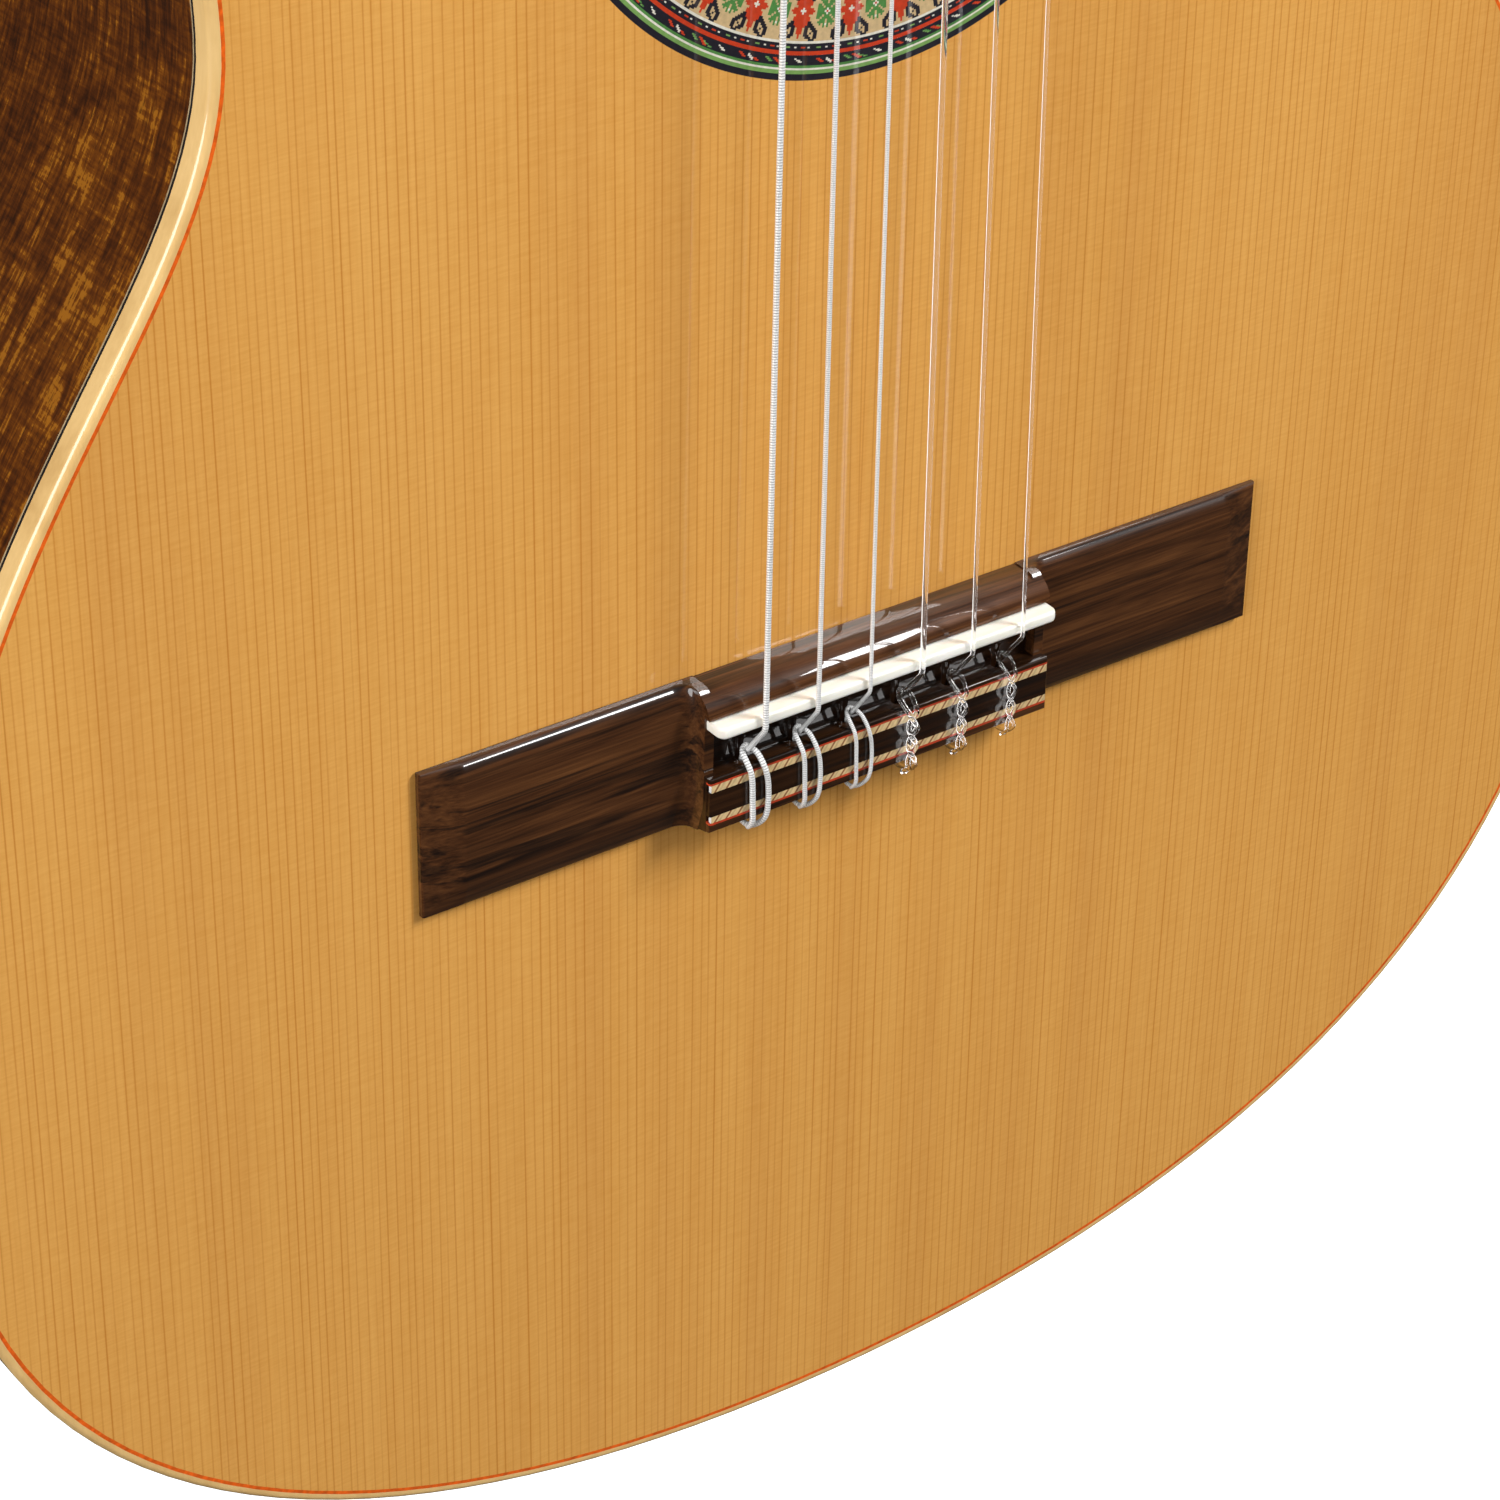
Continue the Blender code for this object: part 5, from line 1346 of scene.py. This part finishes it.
def head_slab(low, high, foot, rounded):
    """The headstock between two depths, with a level foot; the rim at the depth rounded is softened."""
    half = head_half()
    whole = half + [Vector((0, HEAD_LENGTH))] + [Vector((-p.x, p.y)) for p in reversed(half)]
    bm = extruded([Vector((p.x, low, p.y)) for p in whole], (0, high - low, 0))
    if rounded:
        rim = [e for e in bm.edges if all(abs(v.co.y - rounded) < 1e-6 and v.co.z > 1e-6 for v in e.verts)]
        round_edges(bm, rim, 0.0008)
    for vert in bm.verts:
        if vert.co.z < 1e-6:
            vert.co.z = (foot + vert.co.y * math.sin(HEAD_ANGLE)) / math.cos(HEAD_ANGLE)
    return bm


def head_cutters():
    """The two string slots with round ends, the ramps into them and the rollers' bores."""
    slots, ramps, bores = bmesh.new(), bmesh.new(), bmesh.new()
    middle, half = (SLOT_INNER + SLOT_OUTER) / 2, (SLOT_OUTER - SLOT_INNER) / 2
    for side in (-1, 1):
        outline = []
        for centre, first in ((SLOT_END - half, 0), (SLOT_START + half, math.pi)):
            outline += [
                (side * middle + half * math.cos(a), -0.03, centre + half * math.sin(a))
                for a in (first + math.pi * i / 24 for i in range(25))
            ]
        for target, points, direction in (
            (slots, outline, (0, 0.06, 0)),
            (
                ramps,
                [
                    (side * middle - half + 0.0002, y, z)
                    for y, z in (
                        (-0.006, 0.018),
                        (-VENEER_THICKNESS, 0.018),
                        (0.005, SLOT_START + 0.002),
                        (0.005, SLOT_START + 0.010),
                        (-0.006, SLOT_START + 0.010),
                    )
                ],
                (2 * half - 0.0004, 0, 0),
            ),
        ):
            made = extruded([Vector(p) for p in points], direction)
            mesh = mesh_of("cutter", made)
            target.from_mesh(mesh)
            bpy.data.meshes.remove(mesh)
        for up in ROLLER_UPS:
            cylinder(
                bores,
                (side * (SLOT_OUTER - 0.002), ROLLER_DEEP, up),
                (side * (HEAD_HALF + 0.002), ROLLER_DEEP, up),
                SLEEVE_RADIUS + BORE_CLEARANCE,
                32,
            )
            cylinder(
                bores,
                (side * (SLOT_INNER - 0.0048), ROLLER_DEEP, up),
                (side * (SLOT_INNER + 0.001), ROLLER_DEEP, up),
                PIVOT_RADIUS + BORE_CLEARANCE,
                32,
            )
    return [mesh_of(name, bm) for name, bm in (("slots", slots), ("ramps", ramps), ("bores", bores))]


def in_head(mesh):
    """Turns a mesh from the headstock's frame into the guitar's."""
    mesh.transform(HEAD)
    smoothed(mesh, 30)
    return mesh


def make_headstock(wood, facing):
    """The slotted headstock and the facing glued on its front."""
    slots, ramps, bores = head_cutters()
    core = cut(
        mesh_of("headstock_core", head_slab(0, HEAD_THICKNESS, GAP, HEAD_THICKNESS)), [slots, ramps, bores]
    )
    face = cut(
        mesh_of("headstock_facing", head_slab(-GAP - VENEER_THICKNESS, -GAP, 2 * GAP, 0)), [slots, ramps]
    )
    for mesh, finish, node, slot in (
        (core, wood, "headstock", "neck_wood"), (face, facing, "headstock_veneer", "back_and_side_wood")
    ):
        piece(mesh.name, in_head(mesh), finish, replaces=[node], slot=slot)


# ---------------------------------------------------------------- tuning machines

PLATE_X, PLATE_THICKNESS = 0.0353, 0.0012
GEAR_X, GEAR_THICKNESS, GEAR_TEETH, PITCH_RADIUS = 0.0387, 0.0024, 14, 0.0060
WORM_X, WORM_DROP, WORM_RADIUS, SHAFT_RADIUS = 0.0399, 0.0084, 0.0024, 0.00125
TOOTH_UP, TOOTH_DOWN = 0.0007, 0.0009
ROLLER_BEVEL = 0.0003
BORE_CLEARANCE = 0.0006
SPINDLE_RADIUS = 0.0022
SCREW_RADIUS, SCREW_HEIGHT = 0.0028, 0.0012
PIVOT_RADIUS, PIVOT_LENGTH = 0.0030, 0.0045
STRING_HOLE_X, STRING_HOLE_RADIUS = 0.0125, 0.0009
WORM_TURNS, THREAD_STEPS = 2.2, 79
LUG_OFFSET, LUG_HALF_THICKNESS, LUG_HALF_WIDTH = 0.0060, 0.0008, 0.0026
PLATE_LOW, PLATE_HIGH, PLATE_HALF_DEPTH = 0.041, 0.146, 0.007
PLATE_SCREW_UPS, PLATE_SCREW_RADIUS = (0.0440, 0.0725, 0.1075, 0.1430), 0.0016
BUTTON_START, BUTTON_LENGTH, BUTTON_WIDTH, BUTTON_THICKNESS = 0.0225, 0.0150, 0.0180, 0.0090
BUTTON_BORE_DEPTH = 0.0060


def turned(profile, segments=40):
    """A solid of revolution about X, from (x, radius) pairs that start and end on the axis."""
    rows = []
    for x, radius in profile[1:-1]:
        turns = (math.tau * i / segments for i in range(segments))
        rows.append([Vector((x, radius * math.cos(a), radius * math.sin(a))) for a in turns])
    return lofted(rows)


def gear(side):
    """A spur gear about X with straight-flanked teeth."""
    root, tip = PITCH_RADIUS - TOOTH_DOWN, PITCH_RADIUS + TOOTH_UP
    outline = []
    for tooth in range(GEAR_TEETH):
        middle = -math.pi / 2 + math.tau * (tooth + 0.5) / GEAR_TEETH
        for radius, width in (
            (root, -0.00135),
            (PITCH_RADIUS, -0.00100),
            (tip, -0.00060),
            (tip, 0.00060),
            (PITCH_RADIUS, 0.00100),
            (root, 0.00135),
        ):
            a = middle + width / 2 / radius
            outline.append(Vector((side * GEAR_X, radius * math.cos(a), radius * math.sin(a))))
    return extruded(outline, (side * GEAR_THICKNESS, 0, 0))


def sided(mesh, side):
    """Mirrors a mesh made for the treble side when the side is the bass one."""
    if side < 0:
        mesh.transform(Matrix.Diagonal((-1, 1, 1, 1)))
        mesh.flip_normals()
    return mesh


def make_rollers(plastic, brass):
    """Each roller: a pale sleeve with a string hole, its pivot, a spindle with its screw, and a gear."""
    start, end = SLOT_INNER + GAP, PLATE_X - GAP
    screw = GEAR_X + GEAR_THICKNESS - GAP
    sleeve = [
        (start, 0),
        (start, SLEEVE_RADIUS - ROLLER_BEVEL),
        (start + ROLLER_BEVEL, SLEEVE_RADIUS),
        (end - ROLLER_BEVEL, SLEEVE_RADIUS),
        (end, SLEEVE_RADIUS - ROLLER_BEVEL),
        (end, 0),
    ]
    spindle = [
        (end, 0),
        (end, SPINDLE_RADIUS),
        (screw, SPINDLE_RADIUS),
        (screw, SCREW_RADIUS),
        (screw + 0.0008, SCREW_RADIUS),
        (screw + SCREW_HEIGHT, SCREW_RADIUS - ROLLER_BEVEL),
        (screw + SCREW_HEIGHT, 0),
    ]
    tip = SLOT_INNER - PIVOT_LENGTH
    pivot = [
        (tip, 0),
        (tip, PIVOT_RADIUS - ROLLER_BEVEL),
        (tip + ROLLER_BEVEL, PIVOT_RADIUS),
        (start, PIVOT_RADIUS),
        (start, 0),
    ]
    for side, label in ((-1, "bass"), (1, "treble")):
        for number, up in enumerate(ROLLER_UPS):
            body = f"roller_{label}_{number + 1}"
            hole = bmesh.new()
            across = side * STRING_HOLE_X
            cylinder(hole, (across, -0.01, 0), (across, 0.01, 0), STRING_HOLE_RADIUS, 16)
            barrel = sided(cut(mesh_of(f"{body}_sleeve", turned(sleeve)), []), side)
            barrel = cut(barrel, [mesh_of("string_hole", hole)])
            low, high = sorted((side * (screw + 0.0006), side * (screw + 0.002)))
            groove = box((low, -0.0004, -0.004), (high, 0.0004, 0.004))
            metalwork = sided(mesh_of(f"{body}_spindle", turned(spindle)), side)
            metalwork = cut(metalwork, [mesh_of("screw_groove", groove)])
            stub = sided(mesh_of(f"{body}_pivot", turned(pivot)), side)
            wheel = mesh_of(f"{body}_gear", gear(side), 25)
            for mesh, finish, slot, own in (
                (barrel, plastic, "roller_plastic", [body]),
                (stub, brass, "tuner_metal", ()),
                (metalwork, brass, "tuner_metal", ()),
                (wheel, brass, "tuner_metal", ()),
            ):
                mesh.transform(HEAD @ Matrix.Translation((0, ROLLER_DEEP, up)))
                smoothed(mesh, 30)
                piece(mesh.name, mesh, finish, replaces=own, slot=slot, body=body)


def make_worms(steel, pearl):
    """Each worm turns in its plate's lugs and carries a flattened oval button."""
    pitch = math.tau * PITCH_RADIUS / GEAR_TEETH
    root, tip = WORM_RADIUS - TOOTH_DOWN, WORM_RADIUS + TOOTH_UP
    section = [
        (root - 0.0004, -0.00110),
        (root, -0.00110),
        (tip - 0.0002, -0.00072),
        (tip, -0.00055),
        (tip, 0.00055),
        (tip - 0.0002, 0.00072),
        (root, 0.00110),
        (root - 0.0004, 0.00110),
    ]
    front, rear, core = -0.0071, 0.0192, 0.0049
    shaft = [
        (front, 0),
        (front, SHAFT_RADIUS),
        (-core, SHAFT_RADIUS),
        (-core, root),
        (core, root),
        (core, SHAFT_RADIUS),
        (rear, SHAFT_RADIUS),
        (rear, 0),
    ]
    onto_y = Matrix.Rotation(math.pi / 2, 4, "Z")
    for side, label in ((-1, "bass"), (1, "treble")):
        for number, up in enumerate(ROLLER_UPS):
            body, name = f"tuner_{label}_{number + 1}", f"worm_{label}_{number + 1}"
            here = HEAD @ Matrix.Translation((side * WORM_X, ROLLER_DEEP, up - WORM_DROP))
            core_mesh = mesh_of(f"{name}_shaft", turned(shaft, 32))
            core_mesh.transform(onto_y)
            rows = []
            for i in range(THREAD_STEPS + 1):
                turns = WORM_TURNS * (i / THREAD_STEPS - 0.5)
                a = math.tau * turns
                rows.append(
                    [
                        Vector((radius * math.sin(a), pitch * turns + width / 2, radius * math.cos(a)))
                        for radius, width in section
                    ]
                )
            thread = mesh_of(f"{name}_thread", lofted(rows))
            for mesh, own in ((core_mesh, [name]), (thread, ())):
                mesh.transform(here)
                piece(mesh.name, mesh, steel, replaces=own, slot="tuner_metal", body=body)
            bm = bmesh.new()
            bmesh.ops.create_uvsphere(bm, u_segments=40, v_segments=24, radius=0.5)
            size = Matrix.Diagonal((BUTTON_WIDTH, BUTTON_THICKNESS, BUTTON_LENGTH, 1))
            bmesh.ops.transform(bm, matrix=Matrix.Rotation(-math.pi / 2, 4, "X") @ size, verts=bm.verts)
            bore = bmesh.new()
            bore_end = BUTTON_BORE_DEPTH - BUTTON_LENGTH / 2
            cylinder(bore, (0, -BUTTON_LENGTH, 0), (0, bore_end, 0), SHAFT_RADIUS + GAP, 24)
            mesh = cut(mesh_of(f"button_{label}_{number + 1}_pearl", bm), [mesh_of("bore", bore)])
            middle = (side * WORM_X, BUTTON_START + BUTTON_LENGTH / 2, up - WORM_DROP)
            mesh.transform(HEAD @ Matrix.Translation(middle))
            smoothed(mesh, 40)
            piece(
                mesh.name,
                mesh,
                pearl,
                replaces=[f"button_{label}_{number + 1}"],
                slot="button_plastic",
                body=body,
            )


def make_tuner_plates(brass):
    """A round-cornered plate on each side: two lugs for each worm, roller holes and four screws."""
    for side, label in ((-1, "bass"), (1, "treble")):
        low, high = sorted((side * PLATE_X, side * (PLATE_X + PLATE_THICKNESS)))
        bm = box(
            (low, ROLLER_DEEP - PLATE_HALF_DEPTH, PLATE_LOW),
            (high, ROLLER_DEEP + PLATE_HALF_DEPTH, PLATE_HIGH),
        )
        round_edges(bm, [e for e in bm.edges if abs(e.verts[0].co.x - e.verts[1].co.x) > 0.001], 0.002, 6)
        lugs, holes = bmesh.new(), bmesh.new()
        near, far = side * (PLATE_X + PLATE_THICKNESS / 2), side * (WORM_X + LUG_HALF_WIDTH)
        start, end = sorted((near, far))
        for up in ROLLER_UPS:
            worm_up = up - WORM_DROP
            for deep in (ROLLER_DEEP - LUG_OFFSET, ROLLER_DEEP + LUG_OFFSET):
                lug = box(
                    (start, deep - LUG_HALF_THICKNESS, worm_up - LUG_HALF_WIDTH),
                    (end, deep + LUG_HALF_THICKNESS, worm_up + LUG_HALF_WIDTH),
                )
                round_edges(
                    lug,
                    [
                        e
                        for e in lug.edges
                        if all(abs(v.co.x - far) < 1e-6 for v in e.verts) and abs(
                            e.verts[0].co.y - e.verts[1].co.y
                        ) > 0.001
                    ],
                    0.0018,
                    6,
                )
                mesh = mesh_of("lug", lug)
                lugs.from_mesh(mesh)
                bpy.data.meshes.remove(mesh)
            cylinder(
                holes,
                (side * (PLATE_X - 0.002), ROLLER_DEEP, up),
                (side * (PLATE_X + 0.0032), ROLLER_DEEP, up),
                0.0028,
                32,
            )
            cylinder(
                holes,
                (side * WORM_X, ROLLER_DEEP - 0.012, worm_up),
                (side * WORM_X, ROLLER_DEEP + 0.012, worm_up),
                SHAFT_RADIUS + GAP,
                24,
            )
        plate = cut(mesh_of(f"tuner_plate_{label}_brass", bm), [mesh_of("lugs", lugs)], "UNION")
        plate = cut(plate, [mesh_of("plate_holes", holes)])
        piece(plate.name, in_head(plate), brass, replaces=[f"tuner_plate_{label}"], slot="tuner_metal")
        screws = bmesh.new()
        for up in PLATE_SCREW_UPS:
            cylinder(
                screws,
                (side * (PLATE_X + PLATE_THICKNESS), ROLLER_DEEP, up),
                (side * (PLATE_X + PLATE_THICKNESS + 0.0008), ROLLER_DEEP, up),
                PLATE_SCREW_RADIUS,
                24,
            )
        grooves = bmesh.new()
        floor = PLATE_X + PLATE_THICKNESS + 0.0004
        low, high = sorted((side * floor, side * (floor + 0.0016)))
        for up in PLATE_SCREW_UPS:
            groove = box((low, ROLLER_DEEP - 0.002, up - 0.0002), (high, ROLLER_DEEP + 0.002, up + 0.0002))
            mesh = mesh_of("groove", groove)
            grooves.from_mesh(mesh)
            bpy.data.meshes.remove(mesh)
        mesh = cut(mesh_of(f"plate_screws_{label}", screws), [mesh_of("screw_grooves", grooves)])
        piece(mesh.name, in_head(mesh), brass, slot="tuner_metal")


def finish_inside(spruce, lining, cedar):
    """Materials for the pieces inside the body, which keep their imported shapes."""
    for name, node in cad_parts.items():
        for words, finish in ((("brace", "harmonic"), spruce), (("lining",), lining), (("block",), cedar)):
            if any(word in name for word in words):
                node.data.materials.clear()
                node.data.materials.append(finish)


# ---------------------------------------------------------------- studio


def make_camera():
    """A long lens from the bass side and above, aimed at the bridge's upper left."""
    azimuth, elevation, roll = math.radians(-35.577), math.radians(32.111), math.radians(0.795)
    target, distance = Vector((-0.0269, 0, -0.6659)), 0.7904
    back = Vector(
        (
            math.sin(azimuth) * math.cos(elevation),
            -math.cos(azimuth) * math.cos(elevation),
            math.sin(elevation),
        )
    )
    right = UP.cross(back).normalized()
    up = back.cross(right)
    tilted_right = right * math.cos(roll) + up * math.sin(roll)
    tilted_up = up * math.cos(roll) - right * math.sin(roll)
    data = bpy.data.cameras.new("camera")
    data.lens, data.sensor_width = 105.98, 36
    data.shift_x, data.shift_y = 0.0119, 0.0077
    data.clip_start, data.clip_end = 0.05, 50
    camera = bpy.data.objects.new("camera", data)
    bpy.context.scene.collection.objects.link(camera)
    turn = Matrix((tilted_right, tilted_up, back)).transposed().to_4x4()
    camera.matrix_world = Matrix.Translation(target + back * distance) @ turn
    bpy.context.scene.camera = camera


def area_light(name, place, target, size, power, colour=(1, 1, 1), size_y=None):
    """A round soft box, or a rectangular one where size_y is given."""
    data = bpy.data.lights.new(name, "AREA")
    data.shape = "RECTANGLE" if size_y else "DISK"
    data.size = size
    if size_y:
        data.size_y = size_y
    data.energy, data.color = power, colour
    light = bpy.data.objects.new(name, data)
    bpy.context.scene.collection.objects.link(light)
    place, target = Vector(place), Vector(target)
    light.matrix_world = Matrix.Translation(place) @ (
        target - place
    ).to_track_quat("-Z", "Y").to_matrix().to_4x4()
    return light


def make_studio():
    """A white floor, a bright room that is dim at its back and below, and two soft boxes."""
    scene = bpy.context.scene
    scene.view_settings.view_transform = "Standard"
    scene.cycles.caustics_reflective = False
    world = bpy.data.worlds.new("studio")
    scene.world = world
    world.use_nodes = True
    tree = world.node_tree
    tree.nodes.clear()
    split = add(tree, "SeparateXYZ", None, Vector=add(tree, "TexCoord").outputs["Generated"])
    glow = add(
        tree,
        "MapRange",
        None,
        Value=split.outputs["Z"],
        From_Min=-0.3,
        From_Max=0.9,
        To_Min=0.12,
        To_Max=0.34,
    ).outputs[0]
    shine = add(
        tree,
        "MapRange",
        {"interpolation_type": "SMOOTHSTEP"},
        Value=split.outputs["Z"],
        From_Min=0.1,
        From_Max=0.9,
        To_Min=0.03,
        To_Max=0.22,
    ).outputs[0]
    room = add(tree, "Background", None, Color=(1, 1, 1, 1), Strength=glow)
    mirrored = add(tree, "Background", None, Color=(1, 1, 1, 1), Strength=shine)
    plain = add(tree, "Background", None, Color=(1, 1, 1, 1), Strength=1.0)
    rays = add(tree, "LightPath").outputs
    both = add(
        tree,
        "MixShader",
        None,
        Fac=rays["Is Glossy Ray"],
        args=[None, room.outputs[0], mirrored.outputs[0]],
    )
    both = add(
        tree, "MixShader", None, Fac=rays["Is Camera Ray"], args=[None, both.outputs[0], plain.outputs[0]]
    )
    tree.links.new(both.outputs[0], add(tree, "OutputWorld").inputs["Surface"])
    floor_mesh = bpy.data.meshes.new("floor")
    bm = bmesh.new()
    bmesh.ops.create_grid(
        bm, x_segments=1, y_segments=1, size=12, matrix=Matrix.Translation((0, 0, TAIL - 0.12))
    )
    bm.to_mesh(floor_mesh)
    bm.free()
    floor = bpy.data.objects.new("floor", floor_mesh)
    scene.collection.objects.link(floor)
    paper, _, shader = new_material("floor_paper", Base_Color=(0.85, 0.85, 0.85, 1), Roughness=0.9)
    shader.inputs["Emission Color"].default_value = (1, 1, 1, 1)
    shader.inputs["Emission Strength"].default_value = 1.0
    floor_mesh.materials.append(paper)
    floor.visible_glossy = floor.visible_diffuse = False
    bridge = Vector((0, 0, SADDLE_Z))
    area_light("fill", bridge + Vector((-1.9, -0.5, 0.6)), bridge, 1.4, 38)
    towards = Vector((0.51, -0.55, 0.66)).normalized()
    for name, away, width, height, power in (("key", 2.1, 0.42, 0.85, 36), ("key_halo", 2.2, 1.0, 1.3, 11)):
        where = bridge + towards * away
        lamp = area_light(name, where, bridge, width, power, size_y=height)
        across = Vector((0, 0.92, 0.38)).cross(towards).normalized()
        turn = Matrix((across, towards.cross(across), towards)).transposed().to_4x4()
        lamp.matrix_world = Matrix.Translation(where) @ turn
        lamp.visible_glossy = name == "key"


def main():
    """Materials first, then each group of pieces."""
    make_camera()
    make_studio()

    spruce = soundboard_wood()
    dark = side_wood()
    maple = pale_maple()
    orange = dyed_veneer("orange_line", (0.80, 0.120, 0.006))
    black = dyed_veneer("black_line", (0.012, 0.010, 0.010))
    tan = dyed_veneer("tan_line", (0.45, 0.33, 0.18))
    red = dyed_veneer("red_line", (0.50, 0.045, 0.012))
    bridge_wood = rosewood("bridge_wood")
    # A darker copy of the rosewood: the real dark strips of the tie block, and painted shade over the
    # bridge's recessed bed.
    dark_rosewood_and_painted_shade = rosewood("bridge_wood_dark_and_painted_shade", shift=(4, 2, 7), shade=0.30)
    ivory = bone()

    make_edge_trim(maple, orange, black, tan)
    make_sides(dark, maple)
    make_soundboard(spruce)
    make_back(dark)
    make_rosette(mosaic_veneer("rosette_tiles"))

    make_wings(bridge_wood)
    make_centre_block(bridge_wood, dark_rosewood_and_painted_shade)
    make_tie_block_inlay(bridge_wood, dark_rosewood_and_painted_shade, red, mosaic_veneer("rope_inlay"))
    make_saddle(ivory)
    windings = [
        wound_metal(f"wound_{name}", pitch) for name, pitch in zip(STRINGS, (0.00050, 0.00040, 0.00032))
    ]
    make_strings(windings, clear_nylon())

    cedar = plain_wood("neck_wood", (0.16, 0.055, 0.018), (0.27, 0.105, 0.038), (0.38, 0.165, 0.065))
    ebony = plain_wood(
        "fingerboard_ebony", (0.006, 0.005, 0.004), (0.013, 0.010, 0.008), (0.030, 0.022, 0.016), gloss=0.2
    )
    spruce = plain_wood(
        "brace_spruce", (0.55, 0.38, 0.19), (0.68, 0.50, 0.28), (0.78, 0.62, 0.38), (220, 220, 30), 0.0
    )
    lining = plain_wood(
        "lining_cedar", (0.33, 0.19, 0.09), (0.44, 0.27, 0.14), (0.55, 0.37, 0.20), (60, 60, 300), 0.0
    )
    brass = metal("tuner_brass", (0.88, 0.66, 0.28))
    make_neck(cedar, dark)
    make_fingerboard(ebony, metal("fret_nickel", (0.80, 0.79, 0.76)))
    make_nut(ivory)
    make_headstock(cedar, rosewood("headstock_facing_wood", (260, 260, 9)))
    make_tuner_plates(brass)
    make_rollers(pale_maple("roller_cream", (0.78, 0.74, 0.62)), brass)
    make_worms(metal("worm_steel", (0.62, 0.61, 0.58)), pearl_plastic())
    finish_inside(spruce, lining, cedar)


main()
